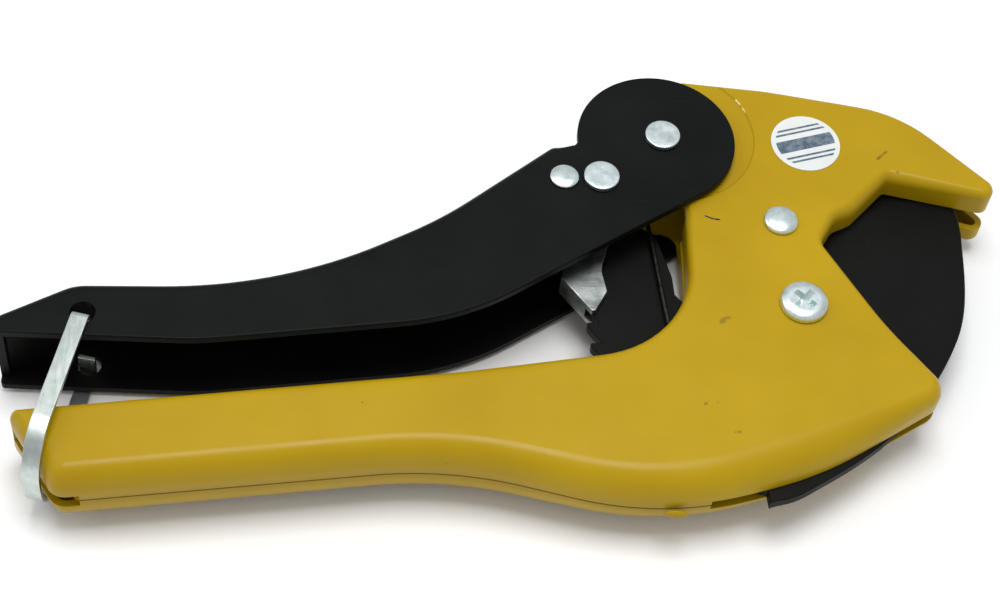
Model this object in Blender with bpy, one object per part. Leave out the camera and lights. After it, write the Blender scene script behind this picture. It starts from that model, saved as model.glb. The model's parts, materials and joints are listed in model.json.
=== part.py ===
"""Ratchet cutter for plastic pipe, lying on its flat side, closed and latched.

Sizes are in millimetres and are turned into metres where a mesh is made. While it is modelled,
the blade's axis is the origin, +X points to the jaws, +Y away from the handle, and +Z up through
the tool's thickness, with z = 0 midway between its two sides. The finished tool is then moved so
that it stands on z = 0 with the middle of its box over the origin.
"""

from math import acos, asin, atan2, ceil, cos, degrees, hypot, pi, radians, sin, tan

import bmesh
import bpy
from mathutils import Matrix, Vector

MM = 0.001
GAP = 0.15  # between flat faces that touch on the real tool
PIN_PLAY = 0.15  # radial, between a pin and the hole it sits in

# Body: two trays of pressed sheet, rim to rim.
BODY_HALF = 8.5
BODY_SHEET = 1.5
SEAM_HALF = 0.15
EDGE_DROP = 1.4  # a rounded edge is this much deeper than it is wide
HANDLE_REACH = 156.1  # from the blade's axis back to the heel of the handle
HEEL_Y = -52.0
NOSE_OFFSET = (-11.5, 17.7)  # from the heel up to the nose of the handle
END_GAP_HALF = 1.9
LUG_RADIUS = 14.0
LUG_RELIEF_HALF = BODY_HALF - BODY_SHEET - 0.5
RECESS_CENTRE = (-27.0, 46.1)
RECESS_RADIUS = 19.2
RECESS_DEPTH = 0.5
REAR_JAW_RIM = 3.6  # how far the rear half of the hook stays below the middle

# Lever: a channel of pressed sheet that straddles the body.
LEVER_PIVOT = (-29.5, 42.9)
LEVER_SHEET = 1.8
LEVER_GAP = 0.7
LEVER_INNER = BODY_HALF + LEVER_GAP
LEVER_OUTER = LEVER_INNER + LEVER_SHEET
LEVER_HEAD = (-30.8, 42.7)
LEVER_HEAD_RADIUS = 18.0
LEVER_NOTCH_ANGLE = 187.0
LEVER_PAST_HEEL = 16.1
LEVER_BEND = 2.2

# Rivets and the blade's screw.
LEVER_PIN_RADIUS = 3.0
LEVER_PIN_HEAD = 4.0
HEAD_HEIGHT = 1.15
TOOL_HALF = LEVER_OUTER + GAP + HEAD_HEIGHT
SLEEVE_WALL = 1.0
WASHER_RADIUS = 7.0
FRAME_RIVET = (-3.4, 22.3)
FRAME_RIVET_RADIUS = 2.4
FRAME_RIVET_HEAD = 3.85
FRAME_HEAD_HEIGHT = 1.5
SCREW_RADIUS = 3.0
SCREW_HEAD = 5.3
SCREW_HEAD_HEIGHT = 2.1
NUT_ACROSS_FLATS = 10.0

# Blade.
BLADE_THICKNESS = 2.5
BLADE_PLAY = 0.25  # each side, in the slots of the body and the pawl
SLOT_HALF = BLADE_THICKNESS / 2 + BLADE_PLAY
BUSH_RADIUS = 5.0
BLADE_SPACER_RADIUS = 8.0
TOOTH_TIP_RADIUS = 46.6
TOOTH_DEPTH = 2.6
TOOTH_PITCH = 6.8
TOOTH_LAND = 1.4
FIRST_TOOTH = 148.7
TOOTH_COUNT = 15
HUB_RADIUS = 15.0
EDGE_BEVEL = 4.0
EDGE_THICKNESS = 0.3

# Pawl.
PAWL_PIVOT = (-43.7, 30.2)
PAWL_SHEET = 1.5
PAWL_HALF = SLOT_HALF + PAWL_SHEET
PAWL_BOSS = 4.2
PAWL_PIN_RADIUS = 2.5
PAWL_SPACER_RADIUS = 3.6
PAWL_TIP_CLEARANCE = 0.3
SPRING_PIN = (-52.0, 29.9)
SPRING_PIN_RADIUS = 2.0
SPRING_PIN_HEAD = 3.25

# Springs.
LEVER_WIRE = 0.55
LEVER_COIL = LEVER_PIN_RADIUS + PIN_PLAY + SLEEVE_WALL + LEVER_WIRE + 0.6
LEVER_COIL_LOW = SLOT_HALF + 1.1
LEVER_COIL_HIGH = BODY_HALF - BODY_SHEET - LEVER_WIRE - 0.55
LEVER_SPRING_FOOT = (-28.9, -2.6)  # where the leg bears on the neck of the body
PAWL_WIRE = 0.4
PAWL_COIL = 3.0
PAWL_COIL_HALF = 1.8
PAWL_SPRING_LEG = 17.0
WEB_SPRING_LEG = 10.0

# Latch strap.
STRAP_WIDTH = 3.8
STRAP_THICKNESS = 1.0
STRAP_BEND = 10.2
STRAP_PIVOT_OFFSET = (2.2, 39.8)  # from the heel of the handle to the holes in the lever
STRAP_BAR_OFFSET = (-4.9, 3.6)  # from the heel to the middle of the bar
STRAP_HOLE_RADIUS = 2.6
STRAP_SEAT = 1.0  # from the middle of a hole to the hook that hangs in it
STRAP_HOOK = 6.0

# Label.
LABEL_CENTRE = (4.1, 45.3)
LABEL_RADIUS = 8.0
LABEL_THICKNESS = 0.25

HEEL = (-HANDLE_REACH, HEEL_Y)
NOSE = (HEEL[0] + NOSE_OFFSET[0], HEEL[1] + NOSE_OFFSET[1])
STRAP_PIVOT = (HEEL[0] + STRAP_PIVOT_OFFSET[0], HEEL[1] + STRAP_PIVOT_OFFSET[1])
FACE_INNER = BODY_HALF - BODY_SHEET
SLEEVE_HALF = FACE_INNER - GAP

# The body's outline, counter-clockwise from the nose of the hook. Each corner is its x and y,
# the radius it is rounded to, and the width of the rounded edge round the face there.
BODY_CORNERS = [
    (52.0, 31.4, 2.6, 1.4),
    (27.4, 57.0, 30.0, 2.2),
    (-4.0, 61.8, 60.0, 2.2),
    (-26.0, 63.1, 2.6, 2.0),
    (-26.0, LEVER_PIVOT[1] + LUG_RADIUS, 1.0, 2.0),
    (LEVER_PIVOT[0] - LUG_RADIUS, LEVER_PIVOT[1] + LUG_RADIUS, 0.97 * LUG_RADIUS, 1.6),
    (LEVER_PIVOT[0] - LUG_RADIUS, LEVER_PIVOT[1] - LUG_RADIUS, 0.97 * LUG_RADIUS, 1.6),
    (-24.6, LEVER_PIVOT[1] - LUG_RADIUS, 4.0, 1.6),
    (-24.3, -11.1, 24.4, 2.0),
    (-75.0, -19.3, 120.0, 4.2),
    (NOSE[0], NOSE[1], 1.6, 2.8),
    (HEEL[0], HEEL[1], 4.0, 4.6),
    (-76.3, -40.2, 86.0, 5.0),
    (-31.4, -50.3, 68.0, 6.2),
    (1.8, -39.3, 80.0, 8.0),
    (31.2, -19.9, 4.6, 2.6),
    (19.1, -5.4, 90.0, 1.8),
    (5.7, 17.9, 3.0, 1.8),
    (9.5, 25.0, 4.0, 2.2),
    (14.0, 27.3, 7.0, 2.6),
    (22.6, 37.2, 1.2, 2.2),
]

# Corners where the rear half is pressed differently, by their place in the list: the nose of the
# hook hangs a little lower, and the lower front corner is rounded more.
REAR_CORNERS = {0: (52.0, 29.9, 2.6, 1.4), 15: (31.2, -19.9, 4.6, 8.0)}

# The lever's lower and upper edges, joined by the round head. Each corner is x, y and radius.
LEVER_END = HEEL[0] - LEVER_PAST_HEEL
LEVER_UPPER = [
    (-49.6, 39.4, 0.9),
    (-54.5, 39.5, 3.0),
    (-79.6, 17.6, 90.0),
    (-113.7, -2.5, 100.0),
    (HEEL[0] - 0.5, -4.6, 10.0),
    (LEVER_END, -13.7, 2.6),
]
LEVER_LOWER = [(LEVER_END, -18.1, 0.9), (-130.0, -17.9, 60.0), (-74.1, -9.1, 60.0)]

# The blade's cutting edge, from its heel to the point, and its back, from the point downwards.
CUTTING_EDGE = [(6.0, 21.5), (14.0, 31.5), (25.0, 38.6), (38.6, 38.4)]
BLADE_BACK = [(39.9, 25.0), (36.3, -0.9), (20.0, -26.5), (0.0, -42.1)]
BLADE_BACK_END = 258.7  # the angle at which the back meets the teeth's circle

# The blade's tail, from its end down to the hub: its radius in tooth tip radii, and the angle.
BLADE_TAIL = [
    (0.98, 144.2),
    (0.805, 144.2),
    (0.73, 149.0),
    (0.631, 158.0),
    (0.592, 167.0),
    (0.526, 172.0),
    (0.376, 174.0),
]

# The pawl's outline below its round boss, counter-clockwise from the boss's left side. Its lowest
# corner is the tip, which reaches into the teeth. The next two are measured from it.
PAWL_TIP_ANGLE = 181.3
PAWL_TIP_BITE = 1.4
PAWL_FOOT = [(-7.1, 9.2, 0.8), (0.0, 0.0, 0.8), (3.1, 6.1, 1.2), (1.9, 12.0, 6.0)]
PAWL_NECK = (-40.6, 22.0, 9.0)


def subtract(a, b):
    return (a[0] - b[0], a[1] - b[1])


def polar(centre, radius, angle):
    """The point at this radius and angle, in degrees, round a centre."""
    return (centre[0] + radius * cos(radians(angle)), centre[1] + radius * sin(radians(angle)))


def arc(centre, radius, start, end, steps):
    """Points along an arc, both ends included."""
    return [polar(centre, radius, start + (end - start) * i / steps) for i in range(steps + 1)]


def turn_at(before, corner, after):
    """The directions into and out of a corner, and the signed angle turned there."""
    way_in = Vector(subtract(corner, before)).normalized()
    way_out = Vector(subtract(after, corner)).normalized()
    turn = atan2(way_in.x * way_out.y - way_in.y * way_out.x, way_in.dot(way_out))
    return way_in, way_out, turn


def arc_steps(radius, turn):
    """How many straight pieces a rounded corner takes."""
    return max(2, ceil(abs(turn) / radians(18)), ceil(abs(turn) * radius / 11))


def round_corner(before, corner, after, radius, steps):
    """Points along the arc that rounds one corner."""
    way_in, way_out, turn = turn_at(before, corner, after)
    reach = radius * tan(abs(turn) / 2)
    start = Vector(corner) - way_in * reach
    side = 1 if turn > 0 else -1
    centre = start + Vector((-way_in.y, way_in.x)) * radius * side
    first = atan2(start.y - centre.y, start.x - centre.x)
    return [
        (centre.x + radius * cos(first + turn * i / steps), centre.y + radius * sin(first + turn * i / steps))
        for i in range(steps + 1)
    ]


def rounded_run(start, corners, end):
    """An open run of rounded corners between two plain end points, which it leaves out."""
    chain = [start] + corners + [end]
    points = []
    for i, (x, y, radius) in enumerate(corners):
        before = chain[i][:2]
        after = chain[i + 2][:2]
        turn = turn_at(before, (x, y), after)[2]
        points += round_corner(before, (x, y), after, radius, arc_steps(radius, turn))
    return points


def inset_ring(corners, insets):
    """The rounded outline moved inwards by its own amount at each corner, with as many points."""
    count = len(corners)
    moved = []
    for i, (x, y, _, _) in enumerate(corners):
        way_in, way_out, turn = turn_at(corners[i - 1][:2], (x, y), corners[(i + 1) % count][:2])
        inwards = Vector((-way_in.y, way_in.x)) + Vector((-way_out.y, way_out.x))
        moved.append(Vector((x, y)) + inwards.normalized() * insets[i] / cos(turn / 2))
    points = []
    for i, (x, y, radius, _) in enumerate(corners):
        turn = turn_at(corners[i - 1][:2], (x, y), corners[(i + 1) % count][:2])[2]
        new_radius = max(radius - insets[i] * (1 if turn > 0 else -1), 0.06)
        steps = arc_steps(radius, turn)
        points += round_corner(moved[i - 1], moved[i], moved[(i + 1) % count], new_radius, steps)
    return points


def spline(points, steps):
    """A smooth open curve through the points."""
    ends = [2 * Vector(points[0]) - Vector(points[1]), 2 * Vector(points[-1]) - Vector(points[-2])]
    knots = [ends[0]] + [Vector(p) for p in points] + [ends[1]]
    curve = []
    for i in range(1, len(knots) - 2):
        a, b, c, d = knots[i - 1 : i + 3]
        for step in range(steps):
            t = step / steps
            curve.append(
                (2 * b + (c - a) * t + (2 * a - 5 * b + 4 * c - d) * t**2 + (3 * b - a - 3 * c + d) * t**3) / 2
            )
    return [tuple(p) for p in curve] + [tuple(points[-1])]


def offset_curve(points, distance):
    """An open curve moved to its left by a distance."""
    moved = []
    for i, point in enumerate(points):
        along = Vector(points[min(i + 1, len(points) - 1)]) - Vector(points[max(i - 1, 0)])
        moved.append(tuple(Vector(point) + Vector((-along.y, along.x)).normalized() * distance))
    return moved


def area(points):
    return sum(a[0] * b[1] - b[0] * a[1] for a, b in zip(points, points[1:] + points[:1])) / 2


def ring(bm, outline, z):
    """A closed ring of vertices. z is one height, or a height for each point."""
    heights = z if isinstance(z, list) else [z] * len(outline)
    return [bm.verts.new((x, y, height)) for (x, y), height in zip(outline, heights)]


def bridge(bm, lower, upper):
    count = len(lower)
    for i in range(count):
        after = (i + 1) % count
        bm.faces.new((lower[i], lower[after], upper[after], upper[i]))


def loft(rings, capped=True):
    """A closed solid through rings of vertices, in order, each counter-clockwise and equally long."""
    bm = bmesh.new()
    made = [ring(bm, outline, z) for outline, z in rings]
    for lower, upper in zip(made, made[1:]):
        bridge(bm, lower, upper)
    if capped:
        bm.faces.new(made[0][::-1])
        bm.faces.new(made[-1])
    else:
        bridge(bm, made[-1], made[0])
    return bm


def prism(outline, low, high):
    """An outline extruded between two heights."""
    if area(outline) < 0:
        outline = outline[::-1]
    return loft([(outline, low), (outline, high)])


def box(low, high):
    corners = [(low[0], low[1]), (high[0], low[1]), (high[0], high[1]), (low[0], high[1])]
    return prism(corners, low[2], high[2])


def disc(centre, radius, segments=24):
    return [polar(centre, radius, 360 * i / segments) for i in range(segments)]


def turned(centre, profile, segments=24):
    """A solid turned about a vertical axis, from radius and height pairs that rise."""
    return loft([(disc(centre, radius, segments), z) for radius, z in profile])


def tube(centre, outer, inner, low, high, segments=24):
    """A hollow cylinder."""
    profile = [(outer, low), (outer, high), (inner, high), (inner, low)]
    return loft([(disc(centre, radius, segments), z) for radius, z in profile], capped=False)


def wire(path, radius, sides=6):
    """A round wire along a path of 3-D points."""
    bm = bmesh.new()
    points = [Vector(p) for p in path]
    normal = None
    rings = []
    for i, point in enumerate(points):
        along = (points[min(i + 1, len(points) - 1)] - points[max(i - 1, 0)]).normalized()
        start = along.orthogonal() if normal is None else normal - along * normal.dot(along)
        normal = start.normalized()
        across = along.cross(normal)
        turns = [2 * pi * k / sides for k in range(sides)]
        rings.append([bm.verts.new(point + (normal * cos(a) + across * sin(a)) * radius) for a in turns])
    for lower, upper in zip(rings, rings[1:]):
        bridge(bm, lower, upper)
    bm.faces.new(rings[0][::-1])
    bm.faces.new(rings[-1])
    return bm


def mirror_z(bm):
    """Turns a solid of the upper side into its twin on the lower side."""
    bmesh.ops.scale(bm, vec=(1, 1, -1), verts=bm.verts)
    bmesh.ops.reverse_faces(bm, faces=bm.faces)
    return bm


def make_material(name, colour, roughness, metallic):
    material = bpy.data.materials.new(name)
    material.use_nodes = True
    shader = material.node_tree.nodes["Principled BSDF"]
    shader.inputs["Base Color"].default_value = (*colour, 1.0)
    shader.inputs["Roughness"].default_value = roughness
    shader.inputs["Metallic"].default_value = metallic
    return material


def make_axis(name, point, parent=None):
    """An empty on a pivot. What turns about the pivot is its child."""
    empty = bpy.data.objects.new(name, None)
    empty.empty_display_size = 0.01
    empty["pivot"] = point
    inner = parent["pivot"] if parent else (0.0, 0.0)
    empty.location = (*(MM * (a - b) for a, b in zip(point, inner)), 0.0)
    empty.parent = parent
    bpy.context.scene.collection.objects.link(empty)
    return empty


def add_object(name, bm, axis):
    """A mesh object whose origin is its axis. The mesh was drawn round the blade's axis."""
    pivot = axis["pivot"]
    bmesh.ops.translate(bm, vec=(-pivot[0], -pivot[1], 0.0), verts=bm.verts)
    bmesh.ops.scale(bm, vec=(MM, MM, MM), verts=bm.verts)
    mesh = bpy.data.meshes.new(name)
    bm.to_mesh(mesh)
    bm.free()
    obj = bpy.data.objects.new(name, mesh)
    obj.parent = axis
    bpy.context.scene.collection.objects.link(obj)
    return obj


def add_piece(name, bm, axis, material):
    piece = add_object(name, bm, axis)
    piece.data.materials.append(material)
    piece.data.shade_smooth()
    piece.data.set_sharp_from_angle(angle=radians(35))
    return piece


def cut(piece, name, bm, axis):
    """Takes a shape away from a piece."""
    cutter = add_object(f"cut_{name}", bm, axis)
    cutter.hide_render = True
    cutter.display_type = "WIRE"
    modifier = piece.modifiers.new(name, "BOOLEAN")
    modifier.operation = "DIFFERENCE"
    modifier.solver = "EXACT"
    modifier.object = cutter


def body_corners(side):
    """The body's outline on one side: the front half's, or the rear half's with its own corners."""
    if side > 0:
        return BODY_CORNERS
    return [REAR_CORNERS.get(i, corner) for i, corner in enumerate(BODY_CORNERS)]


def shell_solid(corners):
    """The upper half of the body: a tray with a rounded edge, rim down, of one sheet thickness."""
    count = len(corners)
    edges = [corner[3] for corner in corners]
    rings = []

    def add_ring(insets, drops, top):
        outline = inset_ring(corners, insets)
        heights = []
        for i, (x, y, radius, _) in enumerate(corners):
            after = corners[(i + 1) % count]
            turn = turn_at(corners[i - 1][:2], (x, y), after[:2])[2]
            drop = min(drops[i], top - SEAM_HALF - 0.2)
            heights += [top - drop] * (arc_steps(radius, turn) + 1)
        rings.append((outline, heights))

    inner_edges = [max(edge - BODY_SHEET, 0.3) for edge in edges]
    angles = (0, 30, 60, 90)
    rings.append((inset_ring(corners, [0.0] * count), SEAM_HALF))
    for angle in angles:
        across = 1 - cos(radians(angle))
        down = EDGE_DROP * (1 - sin(radians(angle)))
        add_ring([edge * across for edge in edges], [edge * down for edge in edges], BODY_HALF)
    for angle in reversed(angles):
        across = 1 - cos(radians(angle))
        down = EDGE_DROP * (1 - sin(radians(angle)))
        insets = [BODY_SHEET + edge * across for edge in inner_edges]
        add_ring(insets, [edge * down for edge in inner_edges], FACE_INNER)
    rings.append((inset_ring(corners, [BODY_SHEET] * count), SEAM_HALF))
    bm = bmesh.new()
    made = [ring(bm, outline, z) for outline, z in rings]
    face_ring = len(angles)
    for i in range(len(made) - 1):
        if i != face_ring:
            bridge(bm, made[i], made[i + 1])
    bridge(bm, made[-1], made[0])
    bm.faces.new(made[face_ring])
    bm.faces.new(made[face_ring + 1][::-1])
    return bm


def add_shell(name, frame, material, side):
    bm = shell_solid(body_corners(side))
    recess = prism(disc(RECESS_CENTRE, RECESS_RADIUS, 60), BODY_HALF - RECESS_DEPTH, BODY_HALF + 5)
    if side < 0:
        mirror_z(bm)
        mirror_z(recess)
    shell = add_piece(name, bm, frame, material)
    cut(shell, f"{name}_recess", recess, frame)
    cut(shell, f"{name}_jaw_slot", box((-21.5, -60.0, -SLOT_HALF), (60.0, 40.0, SLOT_HALF)), frame)
    cut(shell, f"{name}_neck_slot", box((-52.0, -25.0, -SLOT_HALF), (-20.0, 25.0, SLOT_HALF)), frame)
    if side < 0:
        cut(shell, f"{name}_jaw_rim", box((36.0, 20.0, -REAR_JAW_RIM), (60.0, 45.0, 0.0)), frame)
    relief = box((-60.0, 23.0, -LUG_RELIEF_HALF), (-21.0, 58.5, LUG_RELIEF_HALF))
    cut(shell, f"{name}_lug_relief", relief, frame)
    end = [
        (HEEL[0] + 5.0, HEEL[1] - 6.0),
        (HEEL[0] + 5.0, HEEL[1] + 1.4),
        (HEEL[0] + 2.6, HEEL[1] + 2.6),
        (NOSE[0] + 4.0, NOSE[1] - 1.8),
        (NOSE[0] - 5.0, NOSE[1] - 1.8),
        (NOSE[0] - 5.0, HEEL[1] - 6.0),
    ]
    cut(shell, f"{name}_end_gap", prism(end, -END_GAP_HALF, END_GAP_HALF), frame)
    holes = (
        ("lever_hole", LEVER_PIVOT, LEVER_PIN_RADIUS),
        ("rivet_hole", FRAME_RIVET, FRAME_RIVET_RADIUS),
        ("screw_hole", (0.0, 0.0), SCREW_RADIUS),
    )
    for hole, centre, radius in holes:
        drill = prism(disc(centre, radius + PIN_PLAY), -TOOL_HALF, TOOL_HALF)
        cut(shell, f"{name}_{hole}", drill, frame)


def flat_rivet(centre, shank, head, shank_half):
    """A rivet with a flat head at each end, outside z = +-shank_half."""
    edge = 0.25
    under = shank_half + GAP
    top = under + HEAD_HEIGHT
    half = [(shank, under), (head, under), (head, top - edge), (head - edge, top)]
    return turned(centre, [(radius, -z) for radius, z in reversed(half)] + half)


def domed_rivet(centre, shank, head, shank_half, height):
    """A rivet with a low round head at each end."""
    under = shank_half + GAP
    steps = 4
    dome = [
        (head * cos(radians(80 * i / steps)) ** 0.6, under + height * (0.35 + 0.65 * sin(radians(80 * i / steps))))
        for i in range(steps + 1)
    ]
    half = [(shank, under), (head, under)] + dome
    return turned(centre, [(radius, -z) for radius, z in reversed(half)] + half)


def add_body_fasteners(frame, zinc, steel):
    add_piece("lever_pin", flat_rivet(LEVER_PIVOT, LEVER_PIN_RADIUS, LEVER_PIN_HEAD, LEVER_OUTER), frame, zinc)
    inner = LEVER_PIN_RADIUS + PIN_PLAY
    sleeve = tube(LEVER_PIVOT, inner + SLEEVE_WALL, inner, -SLEEVE_HALF, SLEEVE_HALF)
    add_piece("lever_sleeve", sleeve, frame, steel)
    low = BODY_HALF - RECESS_DEPTH + GAP
    high = LEVER_INNER - GAP
    add_piece("pivot_washer_front", tube(LEVER_PIVOT, WASHER_RADIUS, inner, low, high), frame, steel)
    add_piece("pivot_washer_rear", tube(LEVER_PIVOT, WASHER_RADIUS, inner, -high, -low), frame, steel)

    rivet = domed_rivet(FRAME_RIVET, FRAME_RIVET_RADIUS, FRAME_RIVET_HEAD, BODY_HALF, FRAME_HEAD_HEIGHT)
    add_piece("frame_rivet", rivet, frame, zinc)
    inner = FRAME_RIVET_RADIUS + PIN_PLAY
    spacer = tube(FRAME_RIVET, inner + SLEEVE_WALL, inner, -SLEEVE_HALF, SLEEVE_HALF)
    add_piece("frame_spacer", spacer, frame, steel)


def add_blade_axle(frame, zinc, steel):
    """The screw, its nut, the bush that the blade turns on, and the collars beside the blade."""
    under = BODY_HALF + GAP
    top = under + SCREW_HEAD_HEIGHT
    screw = turned(
        (0.0, 0.0),
        [
            (SCREW_RADIUS - 0.4, -TOOL_HALF),
            (SCREW_RADIUS, -TOOL_HALF + 0.4),
            (SCREW_RADIUS, under),
            (SCREW_HEAD, under),
            (SCREW_HEAD, under + 1.1),
            (SCREW_HEAD - 0.6, under + 1.75),
            (SCREW_HEAD - 2.2, top),
        ],
    )
    screw = add_piece("blade_screw", screw, frame, zinc)
    for angle in (20, 110):
        arm = box((-2.6, -0.55, top - 1.3), (2.6, 0.55, top + 1.0))
        bmesh.ops.rotate(arm, cent=(0, 0, 0), matrix=Matrix.Rotation(radians(angle), 3, "Z"), verts=arm.verts)
        cut(screw, f"driver_slot_{angle}", arm, frame)

    nut_low = -(TOOL_HALF - 0.3)
    corner = NUT_ACROSS_FLATS / 2 / cos(radians(30))
    nut = add_piece("blade_nut", prism(disc((0.0, 0.0), corner, 6), nut_low, -under), frame, zinc)
    drill = prism(disc((0.0, 0.0), SCREW_RADIUS + PIN_PLAY), nut_low - 1, -under + 1)
    cut(nut, "nut_bore", drill, frame)

    bore = SCREW_RADIUS + PIN_PLAY
    add_piece("blade_bush", tube((0.0, 0.0), BUSH_RADIUS, bore, -SLEEVE_HALF, SLEEVE_HALF), frame, steel)
    inner = BUSH_RADIUS + PIN_PLAY
    for name, side in (("front", 1), ("rear", -1)):
        low, high = sorted((side * SLOT_HALF, side * SLEEVE_HALF))
        spacer = tube((0.0, 0.0), BLADE_SPACER_RADIUS, inner, low, high)
        add_piece(f"blade_spacer_{name}", spacer, frame, steel)


def blade_back():
    """The blade's back, from its point down to the circle of the teeth."""
    end = polar((0.0, 0.0), TOOTH_TIP_RADIUS + 0.3, BLADE_BACK_END)
    return spline([CUTTING_EDGE[-1]] + BLADE_BACK + [end], 5)[1:]


def tooth_arc():
    """The ratchet teeth, from the tail round to the last ramp: a radial face, a land and a ramp."""
    root = TOOTH_TIP_RADIUS - TOOTH_DEPTH
    points = []
    for i in range(TOOTH_COUNT):
        start = FIRST_TOOTH + i * TOOTH_PITCH
        points.append(polar((0.0, 0.0), root, start + 0.5))
        points.append(polar((0.0, 0.0), TOOTH_TIP_RADIUS - 0.3, start))
        points.append(polar((0.0, 0.0), TOOTH_TIP_RADIUS, start + 0.5))
        points.append(polar((0.0, 0.0), TOOTH_TIP_RADIUS, start + TOOTH_LAND))
    return points


def blade_solid():
    """The blade, ground to an edge from both sides along its cutting edge."""
    edge = spline(CUTTING_EDGE, 5)
    ground = offset_curve(edge, -EDGE_BEVEL)
    last = FIRST_TOOTH + TOOTH_COUNT * TOOTH_PITCH
    root = TOOTH_TIP_RADIUS - TOOTH_DEPTH
    teeth = tooth_arc() + [polar((0.0, 0.0), root, last), polar((0.0, 0.0), root, BLADE_BACK_END - 1.2)]
    tail = [polar((0.0, 0.0), share * TOOTH_TIP_RADIUS, angle) for share, angle in BLADE_TAIL]
    hub = arc((0.0, 0.0), HUB_RADIUS, 160, 85, 8)
    rest = hub[::-1] + tail[::-1] + teeth + blade_back()[::-1]
    sharp = edge[::-1] + rest
    blunt = ground[::-1] + rest
    half = BLADE_THICKNESS / 2
    thin = EDGE_THICKNESS / 2
    heights = [thin] * len(edge) + [half - 0.2] * len(rest)
    return loft([(blunt, -half), (sharp, [-z for z in heights]), (sharp, heights), (blunt, half)])


def add_blade(axis, material):
    blade = add_piece("blade", blade_solid(), axis, material)
    cut(blade, "blade_bore", prism(disc((0.0, 0.0), BUSH_RADIUS + PIN_PLAY), -5, 5), axis)


def lever_outline():
    """The flange's outline, counter-clockwise: the round head, the channel's back, the lower edge."""
    away = subtract(LEVER_LOWER[-1], LEVER_HEAD)
    start = degrees(atan2(away[1], away[0]) + acos(LEVER_HEAD_RADIUS / hypot(*away)))
    head = arc(LEVER_HEAD, LEVER_HEAD_RADIUS, start, LEVER_NOTCH_ANGLE, 24)
    notch = rounded_run(head[-1], LEVER_UPPER[:1], LEVER_UPPER[1])
    back = rounded_run(LEVER_UPPER[0], LEVER_UPPER[1:], LEVER_LOWER[0])
    lower = rounded_run(LEVER_UPPER[-1], LEVER_LOWER, head[0])
    return head + notch, back, lower


def add_lever(axis, material):
    head, back, lower = lever_outline()
    half = []
    for angle in (0, 30, 60, 90):
        inset = LEVER_BEND * (1 - cos(radians(angle)))
        drop = LEVER_BEND * (1 - sin(radians(angle)))
        half.append((head + offset_curve(back, inset) + lower, LEVER_OUTER - drop))
    lever = add_piece("lever", loft([(outline, -z) for outline, z in reversed(half)] + half), axis, material)

    inside = offset_curve(back, LEVER_SHEET)
    far = 60.0
    end = inside[-1][1] - 0.6
    cavity = inside + [(inside[-1][0], end), (inside[-1][0] - far, end), (inside[-1][0] - far, -far)]
    cavity += [(far, -far), (far, 2 * far), (LEVER_UPPER[0][0], 2 * far), (LEVER_UPPER[0][0], inside[0][1])]
    cut(lever, "lever_channel", prism(cavity, -LEVER_INNER, LEVER_INNER), axis)
    holes = (
        ("pivot_hole", LEVER_PIVOT, LEVER_PIN_RADIUS + PIN_PLAY),
        ("pawl_hole", PAWL_PIVOT, PAWL_PIN_RADIUS + PIN_PLAY),
        ("spring_hole", SPRING_PIN, SPRING_PIN_RADIUS + PIN_PLAY),
        ("strap_hole", STRAP_PIVOT, STRAP_HOLE_RADIUS),
    )
    for name, centre, radius in holes:
        cut(lever, name, prism(disc(centre, radius), -2 * LEVER_OUTER, 2 * LEVER_OUTER), axis)


def add_lever_fasteners(axis, zinc, steel):
    add_piece("pawl_pin", flat_rivet(PAWL_PIVOT, PAWL_PIN_RADIUS, LEVER_PIN_HEAD, LEVER_OUTER), axis, zinc)
    add_piece("spring_pin", flat_rivet(SPRING_PIN, SPRING_PIN_RADIUS, SPRING_PIN_HEAD, LEVER_OUTER), axis, zinc)
    inner = PAWL_PIN_RADIUS + PIN_PLAY
    for name, side in (("front", 1), ("rear", -1)):
        low, high = sorted((side * (PAWL_HALF + GAP), side * (LEVER_INNER - GAP)))
        spacer = tube(PAWL_PIVOT, PAWL_SPACER_RADIUS, inner, low, high)
        add_piece(f"pawl_spacer_{name}", spacer, axis, steel)


def add_pawl(axis, material):
    """A folded plate: two cheeks beside the blade's tail, joined by a web along the back."""
    boss = arc(PAWL_PIVOT, PAWL_BOSS, 0, 190, 14)
    tip = polar((0.0, 0.0), TOOTH_TIP_RADIUS - PAWL_TIP_BITE, PAWL_TIP_ANGLE)
    foot = [(tip[0] + x, tip[1] + y, radius) for x, y, radius in PAWL_FOOT]
    outline = boss + rounded_run(boss[-1], foot + [PAWL_NECK], boss[0])
    pawl = add_piece("pawl", prism(outline, -PAWL_HALF, PAWL_HALF), axis, material)
    left, low = foot[0], foot[1]
    sheet = PAWL_SHEET
    inside = [
        (PAWL_PIVOT[0] - PAWL_BOSS - 5, PAWL_PIVOT[1] + 10),
        (PAWL_PIVOT[0] - PAWL_BOSS - 5, PAWL_PIVOT[1] - 7),
        (PAWL_PIVOT[0] - PAWL_BOSS + sheet, PAWL_PIVOT[1] - 7),
        (left[0] + 1.3 * sheet, left[1] + 0.4 * sheet),
        (low[0] + 0.2 * sheet, low[1] + 1.5 * sheet),
        (low[0] + 20, low[1] - 10),
        (PAWL_PIVOT[0] + 20, PAWL_PIVOT[1] + 10),
    ]
    cut(pawl, "pawl_fold", prism(inside, -SLOT_HALF, SLOT_HALF), axis)
    reach = TOOTH_TIP_RADIUS + PAWL_TIP_CLEARANCE
    cut(pawl, "pawl_tip", prism(disc((0.0, 0.0), reach, 180), -SLOT_HALF, SLOT_HALF), axis)
    drill = prism(disc(PAWL_PIVOT, PAWL_PIN_RADIUS + PIN_PLAY), -2 * PAWL_HALF, 2 * PAWL_HALF)
    cut(pawl, "pawl_bore", drill, axis)


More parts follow.
